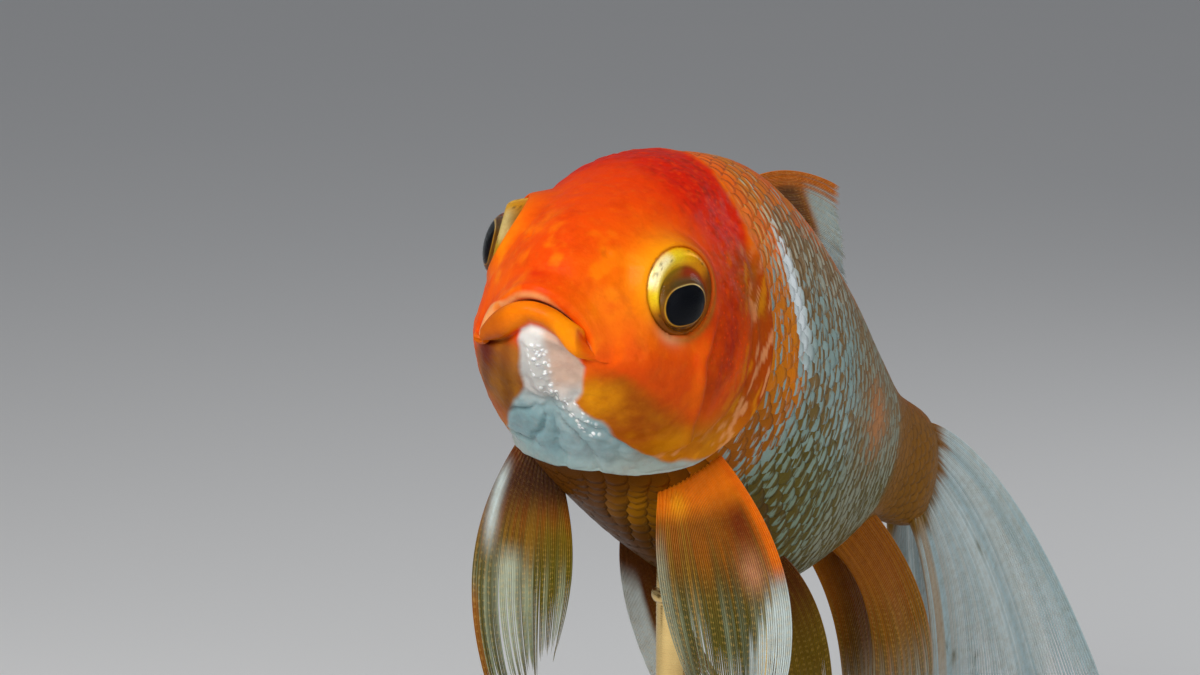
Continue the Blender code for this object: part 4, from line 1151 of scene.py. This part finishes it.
def buildScales():
    plate, body = scalePlate(), bodyForm()
    tree, finish = coverTree("scaleCover"), scaleMaterial()
    allSpots = scalePlaces()
    for side, word in ((1, "Left"), (-1, "Right")):
        spots = allSpots[allSpots[:, 2] == side]
        here, turns, size = scalePoints(spots)
        item = meshFrom("scales" + word, here, [])
        rowPlace = np.interp(spots[:, 0] + spots[:, 3] * 0.8, skinRows, np.arange(len(skinRows)))
        columnPlace = (spots[:, 1] + math.pi) / (2 * math.pi) * skin["columns"] - 0.5
        root = np.c_[skinSpot(rowPlace, columnPlace), np.zeros(len(spots))]
        for name, values in (("turn", turns), ("plateSize", size), ("rootSpot", root),
                             ("scaleIndex", np.arange(len(spots), dtype=float))):
            giveValues(item.data, name, values)
        mesh = runTree(item, tree, {"Plate": plate, "Body": body, "Lift": 0.0, "Finish": finish})
        item.data = mesh
        given = mesh.attributes
        rootSpot = readValues(given["rootSpot"].data, "vector", 3)
        plateSpot = readValues(given["plateSpot"].data, "vector", 3)
        which = np.rint(readValues(given["scaleIndex"].data, "value", 1)[:, 0]).astype(int)
        pale, warm, share, place = scaleColours(spots, plateSpot, which)
        giveColours(mesh, pale)
        giveColours(mesh, warm, "between")
        giveValues(mesh, "share", share)
        giveValues(mesh, "bodyPlace", place)
        spot = rootSpot[:, :2] + (plateSpot[:, :2] - 0.5) * scales["patch"]
        corner = readValues(mesh.loops, "vertex_index", 1, np.int32)[:, 0]
        mesh.uv_layers.new(name="OFBake").data.foreach_set("uv", spot[corner].ravel())
        mesh.polygons.foreach_set("use_smooth", [True] * len(mesh.polygons))
        handOver(item, "skin_body")
        print("scales", word, len(spots), "plates,", len(mesh.polygons), "faces")
    bpy.data.objects.remove(plate)
    bpy.data.objects.remove(body)


buildScales()


# Leading, middle and trailing ray of each fin, each as root, knee and tip on the straight fish.
fins = {
    "dorsal": (((45.0, 0.0, 27.0), (55.0, 0.0, 36.5), (71.0, 0.5, 36.0)),
               ((57.0, 0.0, 25.0), (64.0, 0.0, 31.0), (73.8, 0.5, 27.6)),
               ((68.0, 0.0, 19.0), (73.5, 0.0, 21.5), (79.6, 0.5, 17.6))),
    "pectoralLeft": (((33.0, 13.0, -9.5), (44.0, 29.5, -25.5), (49.5, 18.0, -45.5)),
                     ((32.0, 11.0, -13.0), (31.0, 23.0, -28.0), (45.0, 17.5, -46.0)),
                     ((31.0, 8.0, -15.5), (26.0, 12.0, -29.5), (36.5, 17.5, -43.0))),
    "pectoralRight": (((33.0, -13.5, -8.5), (27.5, -22.0, -30.0), (41.5, -17.0, -49.5)),
                      ((32.0, -11.5, -12.5), (28.0, -11.0, -29.5), (40.5, -12.0, -45.5)),
                      ((31.0, -8.0, -15.5), (33.0, -0.5, -27.0), (38.5, -8.0, -41.0))),
    "pelvicLeft": (((58.0, 9.0, -19.5), (68.5, 13.0, -24.5), (80.0, 6.5, -41.5)),
                   ((57.5, 6.5, -21.5), (68.0, 8.5, -28.5), (78.5, 3.5, -41.5)),
                   ((59.0, 4.0, -22.0), (69.0, 1.0, -28.5), (77.0, 0.0, -37.0))),
    "pelvicRight": (((45.0, -7.0, -21.0), (52.0, -12.5, -31.5), (71.5, -11.0, -45.5)),
                    ((47.5, -5.5, -22.0), (59.0, -10.0, -32.5), (74.5, -9.5, -43.0)),
                    ((50.0, -3.5, -23.0), (64.0, -8.0, -31.5), (76.5, -8.5, -38.0))),
    "analLeft": (((77.0, 2.6, -14.5), (90.0, 5.5, -18.5), (99.5, -0.5, -36.5)),
                 ((81.5, 2.2, -11.5), (96.5, 5.5, -18.5), (106.5, 0.5, -34.0)),
                 ((86.0, 1.8, -6.5), (102.0, 5.0, -14.0), (112.5, 0.0, -27.5))),
    "analRight": (((77.0, -2.0, -14.5), (92.0, -2.5, -21.5), (103.5, -8.0, -35.0)),
                  ((81.5, -1.6, -11.5), (99.5, -3.0, -20.0), (109.0, -8.5, -33.0)),
                  ((86.0, -1.4, -6.5), (105.0, -3.0, -14.0), (115.0, -9.0, -26.5))),
    "tailLeft": (((98.0, 1.6, 8.6), (115.5, 5.5, 11.5), (157.0, 8.5, -29.0)),
                 ((100.0, 1.6, 1.5), (118.5, 6.0, -8.0), (143.5, -3.0, -36.5)),
                 ((98.0, 1.6, -5.6), (111.5, 1.5, -18.0), (128.5, -10.0, -44.5))),
    "tailRight": (((98.0, -1.6, 8.6), (124.5, -15.0, 10.5), (168.0, -24.5, -26.0)),
                  ((100.0, -1.6, 1.5), (126.0, -16.5, -7.0), (154.5, -30.5, -35.5)),
                  ((98.0, -1.6, -5.6), (117.0, -12.5, -18.0), (135.5, -29.5, -42.0))),
}
# Thickness at root and tip in mm; how far out the strands part, and how much shorter some of them are.
finKinds = {
    "dorsal": {"rays": 17, "ripple": 0.3, "waves": 2, "root": 1.3, "tip": 0.3,
               "splitFrom": 0.86, "fray": 0.05},
    "pectoral": {"rays": 15, "ripple": 0.7, "waves": 2, "root": 1.9, "tip": 0.28,
                 "splitFrom": 0.62, "fray": 0.14},
    "pelvic": {"rays": 10, "ripple": 0.6, "waves": 1.5, "root": 1.6, "tip": 0.28,
               "splitFrom": 0.75, "fray": 0.08},
    "anal": {"rays": 8, "ripple": 0.5, "waves": 1.5, "root": 1.2, "tip": 0.28,
             "splitFrom": 0.8, "fray": 0.07},
    "tail": {"rays": 20, "ripple": 2, "waves": 2, "root": 1.5, "tip": 0.26,
             "splitFrom": 0.86, "fray": 0.06},
}
finBuild = {
    "rows": 44, "perRay": 4, "sink": 0.09, "tailNotch": 0.12, "seed": 3,
    "rightPectoral": {"splitFrom": 0.55, "fray": 0.16},
    # section of a strand, as shares of its half width and half thickness
    "outline": ((-1, 0), (-0.62, 0.8), (0, 1), (0.62, 0.8), (1, 0), (0.62, -0.8), (0, -1), (-0.62, -0.8)),
    # spots on the tail: place across and out, and size
    "tailSpots": ((0.42, 0.42, 0.022), (0.80, 0.62, 0.020), (0.86, 0.56, 0.014), (0.66, 0.70, 0.012)),
}
paint.update({
    "pectoralRoot": (0.27, 0.078, 0.001), "pectoralBrown": (0.066, 0.056, 0.009),
    "pectoralStreak": (0.42, 0.17, 0.004), "pectoralOlive": (0.10, 0.085, 0.010),
    "pectoralGrey": (0.19, 0.23, 0.14), "pectoralPale": (0.56, 0.64, 0.62),
    "leftRed": (0.17, 0.020, 0.001), "leftRoot": (0.84, 0.20, 0.001), "leftLead": (0.78, 0.15, 0.001),
    "leftBlush": (0.58, 0.24, 0.12), "leftSpot": (0.86, 0.36, 0.004), "leftInner": (0.24, 0.25, 0.17),
    "rightDark": (0.034, 0.008, 0.001), "rightRoot": (0.15, 0.028, 0.001), "rightOlive": (0.13, 0.10, 0.002),
    "rightStreak": (0.30, 0.34, 0.22), "rightPale": (0.46, 0.50, 0.38), "rightLead": (0.28, 0.085, 0.001),
    "pelvicRoot": (0.12, 0.03, 0.001), "pelvicBrown": (0.20, 0.095, 0.004),
    "pelvicOlive": (0.15, 0.095, 0.003), "pelvicTip": (0.30, 0.28, 0.12),
    "pelvicWhite": (0.66, 0.72, 0.70), "pelvicPale": (0.52, 0.56, 0.50),
    "analRoot": (0.30, 0.085, 0.001), "analBrown": (0.19, 0.10, 0.005), "analStreak": (0.46, 0.14, 0.002),
    "analTip": (0.50, 0.54, 0.46),
    "dorsalEdge": (0.62, 0.15, 0.001), "dorsalBrown": (0.36, 0.115, 0.001), "dorsalDark": (0.1, 0.03, 0.001),
    "dorsalGold": (0.28, 0.10, 0.002), "dorsalWhite": (0.40, 0.48, 0.46), "dorsalRear": (0.38, 0.47, 0.48),
    "dorsalRay": (0.40, 0.18, 0.03),
    "tailMilk": (0.42, 0.55, 0.58), "tailWhite": (0.60, 0.68, 0.68), "tailBlue": (0.30, 0.46, 0.50),
    "tailRoot": (0.30, 0.11, 0.001), "tailBrown": (0.17, 0.085, 0.004), "tailRust": (0.36, 0.18, 0.03),
    "tailSpot": (0.10, 0.09, 0.03), "tailRay": (0.50, 0.46, 0.36),
})


# Point on a fin's middle surface: v from leading to trailing edge, w from root to tip.
def finSheet(rays, notch, v, w):
    v, w = np.asarray(v)[..., None], np.asarray(w)[..., None]
    w = w * (1 - notch * hump(v - 0.5, 0.2))
    shares = ((1 - v) * (1 - 2 * v), 4 * v * (1 - v), v * (2 * v - 1))
    root, knee, tip = (sum(share * rays[i, k] for i, share in enumerate(shares)) for k in range(3))
    return (1 - w) ** 2 * root + 2 * w * (1 - w) * knee + w ** 2 * tip


def finNormal(rays, notch, v, w, d=0.004):
    across = finSheet(rays, notch, v + d, w) - finSheet(rays, notch, v - d, w)
    out = finSheet(rays, notch, v, w + d) - finSheet(rays, notch, v, w - d)
    return unit(np.cross(across, out))


def leftPectoral(v, w, mix, core):
    reach = 0.12 + 0.24 * ease(w, 0.38, 0.80)
    edge = ease(v + 0.10 * mix, reach + 0.05, reach - 0.05) * ease(w, 0.40, 0.54)
    return (("leftRed", 0.9 * hump(v - 0.22, 0.13) * hump(w - 0.23, 0.12)),
            ("leftRoot", 0.95 * ease(w, 0.22, 0.10)),
            ("leftLead", 0.95 * ease(v + 0.03 * mix, 0.15, 0.04) * ease(w, 0.50, 0.38)),
            ("leftBlush", 0.7 * hump(v - 0.24, 0.10) * hump(w - 0.41, 0.07)),
            ("leftSpot", 0.95 * hump(v - 0.76, 0.10) * hump(w - 0.12, 0.045)),
            ("leftInner", 0.85 * ease(v, 0.88, 0.97) * ease(w, 0.18, 0.4)),
            ("pectoralPale", edge * (0.92 - 0.15 * core)))


def rightPectoral(v, w, mix, core):
    edge = hump(v - 0.08 - 0.10 * ease(w, 0.14, 0.5), 0.085) * ease(w, 0.14, 0.24) * ease(w, 0.52, 0.34)
    return (("rightDark", 0.94 * ease(w + 0.10 * v, 0.46, 0.22)),
            ("rightRoot", 0.8 * ease(v, 0.34, 0.10) * ease(w, 0.26, 0.10)),
            ("rightOlive", 0.6 * ease(v, 0.60, 0.85) * ease(w, 0.25, 0.4) * ease(w, 0.8, 0.6)),
            ("rightStreak", 0.75 * ease(mix, 0.05, 0.45) * ease(w, 0.46, 0.66)),
            ("rightPale", 0.85 * hump(v - 0.42, 0.11) * ease(w, 0.40, 0.52) * ease(w, 0.95, 0.80)),
            ("rightLead", 0.9 * ease(v + 0.02 * mix, 0.12, 0.05) * ease(w, 0.54, 0.66)),
            ("pectoralPale", edge * (0.92 - 0.15 * core)))


def pectoralCoats(name, v, w, mix, core):
    ownCoats = leftPectoral if name.endswith("Left") else rightPectoral
    return (("pectoralRoot", 1),
            ("pectoralBrown", ease(w + 0.2 * mix, 0.18, 0.50)),
            ("pectoralStreak", 0.45 * ease(mix, 0, 0.5) * ease(w, 0.9, 0.55)),
            ("pectoralOlive", 0.6 * ease(mix, -0.1, -0.6) * ease(w, 0.3, 0.55)),
            ("pectoralGrey", 0.75 * (1 - core) * ease(w, 0.38, 0.60) * ease(mix, -0.5, 0.2)),
            *ownCoats(v, w, mix, core))


def pelvicCoats(name, v, w, mix, core):
    base = (("pelvicRoot", 1), ("pelvicBrown", ease(w + 0.2 * mix, 0.2, 0.7)))
    if name.endswith("Left"):
        return base + (("pelvicOlive", 0.8 * ease(w, 0.2, 0.6)),
                       ("pelvicTip", 0.4 * (1 - core) * ease(w, 0.6, 0.95)))
    return base + (("pelvicWhite", 0.9 * ease(v, 0.40, 0.26) * ease(w, 0.12, 0.3)),
                   ("pelvicPale", 0.5 * (1 - core) * ease(w, 0.5, 0.9)))


def analCoats(name, v, w, mix, core):
    return (("analRoot", 1),
            ("analBrown", ease(w + 0.3 * mix, 0.2, 0.8)),
            ("analStreak", 0.5 * ease(mix, 0, 0.6)),
            ("analTip", 0.5 * (1 - core) * ease(w, 0.6, 0.95)))


def dorsalCoats(name, v, w, mix, core):
    return (("dorsalEdge", 1),
            ("dorsalBrown", ease(v + 0.1 * mix, 0.06, 0.24)),
            # painted shadow along the fin's base, behind its leading edge
            ("dorsalDark", 0.85 * ease(v, 0.12, 0.22) * ease(w, 0.66, 0.46)),
            ("dorsalGold", 0.7 * hump(v - 0.72, 0.14) * ease(w, 0.6, 0.3)),
            ("dorsalWhite", ease(v + 0.08 * mix, 0.09, 0.20) * ease(w + 0.10 * v, 0.60, 0.72)),
            ("dorsalRear", ease(v, 0.50, 0.66) * ease(w, 0.40, 0.62)),
            ("dorsalRay", 0.25 * core * ease(mix, 0.1, 0.6)))


# Tail lobes: brown band at the root, then milky blue-white with a few spots.
def tailCoats(name, v, w, mix, core):
    brown = layered(("tailRoot", 1), ("tailBrown", ease(v + 0.2 * mix, 0.3, 0.8)))
    spots = [("tailSpot", 0.85 * hump(np.hypot(v - across, w - out), size))
             for across, out, size in finBuild["tailSpots"]]
    return (("tailMilk", 1),
            ("tailWhite", ease(mix, -0.6, 0.6)),
            ("tailBlue", 0.55 * ease(v, 0.16, 0.02) * ease(w, 0.3, 0.6)),
            (brown, ease(w + 0.05 * mix, 0.14, 0.06)),
            ("tailRust", 0.65 * ease(v, 0.72, 0.9) * ease(w, 0.85, 0.5) * ease(mix, -0.5, 0.1)),
            *spots,
            ("tailRay", 0.22 * core * ease(w, 0.9, 0.5)))


finCoats = {"dorsal": dorsalCoats, "pectoral": pectoralCoats, "pelvic": pelvicCoats, "anal": analCoats,
            "tail": tailCoats}


# A fin is built of closed strands, a few to each ray, that part towards the tip.
def buildFin(name):
    kind = name.removesuffix("Left").removesuffix("Right")
    spec = finKinds[kind] | (finBuild["rightPectoral"] if name == "pectoralRight" else {})
    sheet = posed(np.array(fins[name])), finBuild["tailNotch"] if kind == "tail" else 0.0
    random = np.random.default_rng(finBuild["seed"] + len(name) * 7 + ord(name[-1]))
    perRay, rows, sink, fray = finBuild["perRay"], finBuild["rows"], finBuild["sink"], spec["fray"]
    strands = spec["rays"] * perRay
    t, k = np.linspace(0.0, 1.0, rows), np.arange(strands)[:, None]
    group = 2 * (k % perRay) / (perRay - 1) - 1              # place inside its ray, -1 to 1
    rayRandom = np.repeat(random.uniform(-1, 1, spec["rays"]), perRay)[:, None]
    hair = random.uniform(-1, 1, strands)[:, None]
    reach = 1 - fray * (0.5 + 0.5 * (0.6 * rayRandom + 0.4 * hair))
    reach = reach + 0.25 * fray * np.abs(hair) * (np.abs(group) < 0.5)
    w = -sink + t * (reach + sink)
    start = spec["splitFrom"] + 0.10 * rayRandom + 0.06 * hair
    free = np.clip((w - start) / (1.02 - start), 0, 1)
    ragged = fray * 0.11
    v = (k + 0.5) / strands + ragged * free ** 1.6 * (0.7 * rayRandom + 0.6 * hair)
    v = v - group * 0.42 / strands * free * 0.8
    half = (0.5 / strands) * (1.08 - 0.78 * free ** 0.8) * (1 - 0.92 * ease(t, 0.955, 1) ** 1.5)
    out = np.clip(w, 0, 1)
    sway = spec["ripple"] * out ** 1.4 * np.sin(2 * math.pi * spec["waves"] * v + 2.2 * out)
    stray = 0.8 * np.roll(rayRandom, 3, axis=0) + 0.6 * np.roll(hair, 1, axis=0)
    sway = (sway + 6 * ragged * free ** 1.5 * stray)[..., None]
    ridge = 1 - 0.62 * np.abs(group) * (1 - 0.6 * out)
    thick = spec["root"] * np.exp(-out / 0.10) * 0.75 + spec["tip"] + (0.42 - spec["tip"]) * (1 - out) ** 1.5
    thick = thick * np.clip(1 + 4 * np.minimum(w, 0), 0.5, 1)
    high = 0.5 * thick * (0.55 + 0.55 * ridge) * (1 - 0.8 * ease(t, 0.94, 1))
    across, above = np.array(finBuild["outline"]).T
    fullV = v[..., None] + across * half[..., None]
    fullW = np.broadcast_to(w[..., None], fullV.shape)
    fullOut = np.clip(fullW, 0, 1)
    offset = above * high[..., None] + np.sign(above) * 0.12 * spec["root"] * np.exp(-fullOut / 0.10) + sway
    points = finSheet(*sheet, fullV, fullW)
    points = points + finNormal(*sheet, fullV, np.clip(fullW, 0.01, 1)) * offset[..., None]
    index = np.arange(fullV.size).reshape(fullV.shape)
    after = np.roll(index, -1, axis=2)
    faces = np.stack([index[:, :-1], after[:, :-1], after[:, 1:], index[:, 1:]], -1).reshape(-1, 4).tolist()
    faces += index[:, 0, ::-1].tolist() + index[:, -1].tolist()
    item = meshFrom("fin" + name[0].upper() + name[1:], points.reshape(-1, 3), faces)
    core = (1 - np.abs(group))[..., None] * (0.6 + 0.4 * (1 - np.abs(across)))
    core, strand = (np.broadcast_to(values, fullV.shape) for values in (core, hair[..., None]))
    place = np.clip(fullV, 0, 1)
    streak, finer = (np.interp(place * count, np.arange(count + 2), random.uniform(-1, 1, count + 2))
                     for count in (40, 90))
    mix = 0.6 * streak + 0.4 * finer + 0.3 * strand
    giveColours(item.data, layered(*finCoats[kind](name, place, fullOut, mix, core)).reshape(-1, 3))
    length = np.linalg.norm(finSheet(*sheet, 0.5, 1.0) - finSheet(*sheet, 0.5, 0.0))
    giveValues(item.data, "raySpot", np.stack([core, fullW * length, fullOut], -1).reshape(-1, 3))
    finUnwrap(item.data, fullV.shape)
    item.data.materials.append(tailFinish if kind == "tail" else finFinish)
    node = "fin_" + name.replace("Left", "_left").replace("Right", "_right")
    handOver(item, "tail_membrane" if kind == "tail" else "fin_membrane", node)
    print("fin", name, len(item.data.polygons), "faces")


# Each strand is one column of the unwrap, opened along its edge.
def finUnwrap(mesh, shape):
    strands, rows, ring = shape
    s, r, q = np.meshgrid(np.arange(strands), np.arange(rows - 1), np.arange(ring), indexing="ij")
    corners = []
    for down, across in ((0, 0), (0, 1), (1, 1), (1, 0)):
        x, y = (s + 0.06 + 0.88 * (q + across) / ring) / strands, 0.02 + 0.94 * (r + down) / (rows - 1)
        corners.append(np.stack([x, y], -1))
    uv = [np.stack(corners, -2).reshape(-1, 2)]
    turn = 2 * math.pi * np.arange(ring) / ring
    for base, order in ((0.008, turn[::-1]), (0.985, turn)):
        x = (np.arange(strands)[:, None] + 0.5 + 0.25 * np.cos(order)) / strands
        uv.append(np.stack([x, base + 0.004 * np.sin(order) + 0 * x], -1).reshape(-1, 2))
    mesh.uv_layers.new(name="OFBake").data.foreach_set("uv", np.concatenate(uv).ravel())


def membraneMaterial(name, soft, glint):
    item, tree, shader, place = newMaterial(name, {
        "Subsurface Weight": soft, "Subsurface Radius": (1.0, 0.8, 0.7), "Subsurface Scale": 0.0015,
        "Specular IOR Level": 0.12, "Coat Weight": 0.02, "Coat Roughness": 0.2})
    core, out, share = components(tree, "raySpot")
    mottle = noise(tree, place, 700, 6, 0.7)
    # the rays' joints, as rows of small beads; their golden colour, stronger out towards the tip, is a
    # painted glint
    joints = calc(tree, "ADD", calc(tree, "MULTIPLY", out, 7.2), calc(tree, "MULTIPLY", mottle, 14.0))
    joints = remap(tree, calc(tree, "SINE", joints), 0.2, 0.9)
    beads = calc(tree, "MULTIPLY", joints, remap(tree, core, 0.3, 0.8))
    toned = mixColour(tree, remap(tree, mottle, 0.42, 0.70, 0.0, 0.40), attribute(tree, "markings"),
                      (0.62, 0.48, 0.36), "MULTIPLY")
    outer = remap(tree, share, 0.34, 0.55, 0.25, 1.0)
    # painted glints on the beads
    glinting = calc(tree, "MULTIPLY", calc(tree, "MULTIPLY", beads, glint), outer)
    feed(tree, shader.inputs["Base Color"], mixColour(tree, glinting, toned, (0.86, 0.52, 0.12)))
    feed(tree, shader.inputs["Roughness"], remap(tree, mottle, 0.3, 0.7, 0.30, 0.50))
    addBumps(tree, shader, (beads, 0.20, 0.00008), (mottle, 0.25, 0.00012))
    return item


finFinish, tailFinish = membraneMaterial("finWebbing", 0.2, 0.30), membraneMaterial("tailWebbing", 0.35, 0.06)
for name in fins:
    buildFin(name)


stand = {
    "baseHalf": (43.0, 58.0), "baseMiddle": (0.0, -11.2), "baseSides": 192,
    # how far in from the rim and how high the base's outline runs, from its underside to its top
    "baseOutline": ((30.0, 0.0), (3.0, 0.0), (1.0, 0.05), (0.5, 0.25), (0.15, 0.7), (0.0, 1.3), (0.0, 4.7),
                    (0.15, 5.5), (0.55, 6.2), (1.1, 6.65), (1.8, 6.92), (2.6, 7.0), (4.3, 7.0), (4.5, 6.93),
                    (4.7, 6.74), (5.1, 6.74), (5.3, 6.93), (5.5, 7.0), (9.0, 7.0), (30.0, 7.0)),
    "rodSides": 64,
    # radius and height of a rod's foot, and of the bead below the belly, counted from the rod's top
    "footOutline": ((4.0, 7.02), (4.85, 7.02), (5.0, 7.17), (5.0, 8.2), (4.88, 8.45), (4.6, 8.62), (4.2, 8.7),
                    (3.6, 8.78), (3.1, 9.0), (2.75, 9.4), (2.6, 9.9), (2.55, 10.1), (2.35, 10.2), (2.3, 10.4),
                    (2.3, 11.6), (2.38, 11.78), (2.6, 11.88), (2.66, 12.1), (2.6, 12.32), (2.38, 12.42),
                    (2.0, 12.5), (2.0, 12.8)),
    "beadOutline": ((2.0, -6.3), (2.0, -6.0), (2.35, -5.9), (2.6, -5.5), (2.65, -5.1), (2.6, -4.7),
                    (2.35, -4.3), (2.0, -4.2), (2.0, -3.9), (2.0, 0.0), (1.0, 0.0)),
    "rodTops": {"Front": (46.0, 69.0), "Rear": (67.0, 62.1)},      # place along the body, and height
}


def ebonyMaterial():
    item, tree, shader, place = newMaterial("ebonisedWood", {"Coat Weight": 0.35, "Coat Roughness": 0.18})
    grain = noise(tree, stretched(tree, place, (60.0, 6.0, 60.0)), 9, 8, 0.65, 0.6)
    pores = noise(tree, stretched(tree, place, (900.0, 40.0, 900.0)), 3, 3)
    tone = mixColour(tree, remap(tree, grain, 0.35, 0.65), (0.018, 0.011, 0.008), (0.075, 0.042, 0.024))
    tone = mixColour(tree, remap(tree, pores, 0.56, 0.66, 0.0, 0.7), tone, (0.008, 0.005, 0.004))
    feed(tree, shader.inputs["Base Color"], tone)
    feed(tree, shader.inputs["Roughness"], remap(tree, grain, 0.3, 0.7, 0.30, 0.42))
    addBumps(tree, shader, (pores, 0.25, 0.0001))
    return item


def brassMaterial():
    item, tree, shader, place = newMaterial("brushedBrass", {"Metallic": 1.0})
    brush = noise(tree, stretched(tree, place, (150.0, 150.0, 6000.0)), 1, 4, 0.6)
    dull = remap(tree, noise(tree, place, 180, 5), 0.4, 0.65)
    feed(tree, shader.inputs["Base Color"], mixColour(tree, dull, (0.80, 0.58, 0.24), (0.70, 0.48, 0.19)))
    feed(tree, shader.inputs["Roughness"], remap(tree, brush, 0.3, 0.7, 0.18, 0.36))
    addBumps(tree, shader, (brush, 0.05, 0.00003))
    return item


# A turned piece from its rings, each with half width, half length and height.
def turnedPiece(name, rings, middle, sides, finish, slot, node):
    wide, deep, height = np.array(rings).T[..., None]
    angle = 2 * math.pi * np.arange(sides) / sides
    x, y = middle[0] + wide * np.cos(angle), middle[1] + deep * np.sin(angle)
    first, last = ((middle[0], middle[1], ring[2]) for ring in (rings[0], rings[-1]))
    item = closedPiece(name, np.stack([x, y, height + 0 * x], -1), first, last)
    item.data.materials.append(finish)
    handOver(item, slot, node)


def buildStand():
    wide, deep = stand["baseHalf"]
    rings = [(wide - inset, deep - inset, height) for inset, height in stand["baseOutline"]]
    turnedPiece("standBase", rings, stand["baseMiddle"], stand["baseSides"], ebonyMaterial(),
                "stand_wood", "stand_base")
    brass = brassMaterial()
    for word, (along, top) in stand["rodTops"].items():
        rings = [(r, r, height) for r, height in stand["footOutline"]]
        rings += [(r, r, top + height) for r, height in stand["beadOutline"]]
        turnedPiece("standRod" + word, rings, posed((along, 0.5, -20.0)), stand["rodSides"], brass,
                    "stand_metal", "stand_rod_" + word.lower())


buildStand()
print("stand: built")


stage = {
    "floorHalf": 6000.0,
    # name, place, size in metres, power and tint
    "lights": (("keyLight", (-60.0, -390.0, 370.0), 0.30, 1.98, (1.0, 0.99, 0.97)),
               ("fillLight", (420.0, -260.0, 180.0), 0.35, 0.45, (0.97, 0.99, 1.0)),
               ("rimLight", (260.0, 330.0, 260.0), 0.25, 0.4, (1.0, 1.0, 1.0))),
    "lightAim": (0.0, -30.0, 95.0),
    "room": (0.94, 0.96, 1.0, 1.0), "roomStrength": 0.24,
    # the camera's direction in degrees, and its place from the snout in mm
    "azimuth": 26.0, "elevation": 12.0, "right": 8.3, "down": 4.65, "away": 337.0, "lens": 84.0,
}


def paleFloor():
    half = stage["floorHalf"]
    item = meshFrom("paleFloor", [(-half, -half, 0), (half, -half, 0), (half, half, 0), (-half, half, 0)],
                    [(0, 1, 2, 3)])
    finish, tree, shader, place = newMaterial("palePaper", {"Roughness": 0.8})
    paper = mixColour(tree, noise(tree, place, 3, 2), (0.80, 0.81, 0.82), (0.83, 0.83, 0.83))
    feed(tree, shader.inputs["Base Color"], paper)
    item.data.materials.append(finish)


def softLight(name, place, size, power, tint):
    light = bpy.data.lights.new(name, "AREA")
    light.shape = "DISK"
    light.size = size
    light.energy = power
    light.color = tint
    item = bpy.data.objects.new(name, light)
    bpy.context.scene.collection.objects.link(item)
    item.location = Vector(place) * mm
    item.rotation_euler = (Vector(stage["lightAim"]) * mm - item.location).to_track_quat("-Z", "Y").to_euler()


def placeCamera():
    a, e = math.radians(stage["azimuth"]), math.radians(stage["elevation"])
    right = Vector((math.cos(a), math.sin(a), 0.0))
    up = Vector((-math.sin(a) * math.sin(e), math.cos(a) * math.sin(e), math.cos(e)))
    away = Vector((math.sin(a) * math.cos(e), -math.cos(a) * math.cos(e), math.sin(e)))
    data = bpy.data.cameras.new("frontView")
    data.lens = stage["lens"]
    data.sensor_width = 36.0
    data.clip_start = 0.01
    item = bpy.data.objects.new("frontView", data)
    bpy.context.scene.collection.objects.link(item)
    spot = Vector(pose["snoutAt"]) + right * stage["right"] - up * stage["down"] + away * stage["away"]
    item.matrix_world = Matrix((right, up, away)).transposed().to_4x4()
    item.location = spot * mm
    bpy.context.scene.camera = item


paleFloor()
for light in stage["lights"]:
    softLight(*light)
world = bpy.data.worlds.new("paleRoom")
world.use_nodes = True
world.node_tree.nodes["Background"].inputs["Color"].default_value = stage["room"]
world.node_tree.nodes["Background"].inputs["Strength"].default_value = stage["roomStrength"]
bpy.context.scene.world = world
placeCamera()
bpy.context.scene.view_settings.view_transform = "Standard"
print("stage: done")
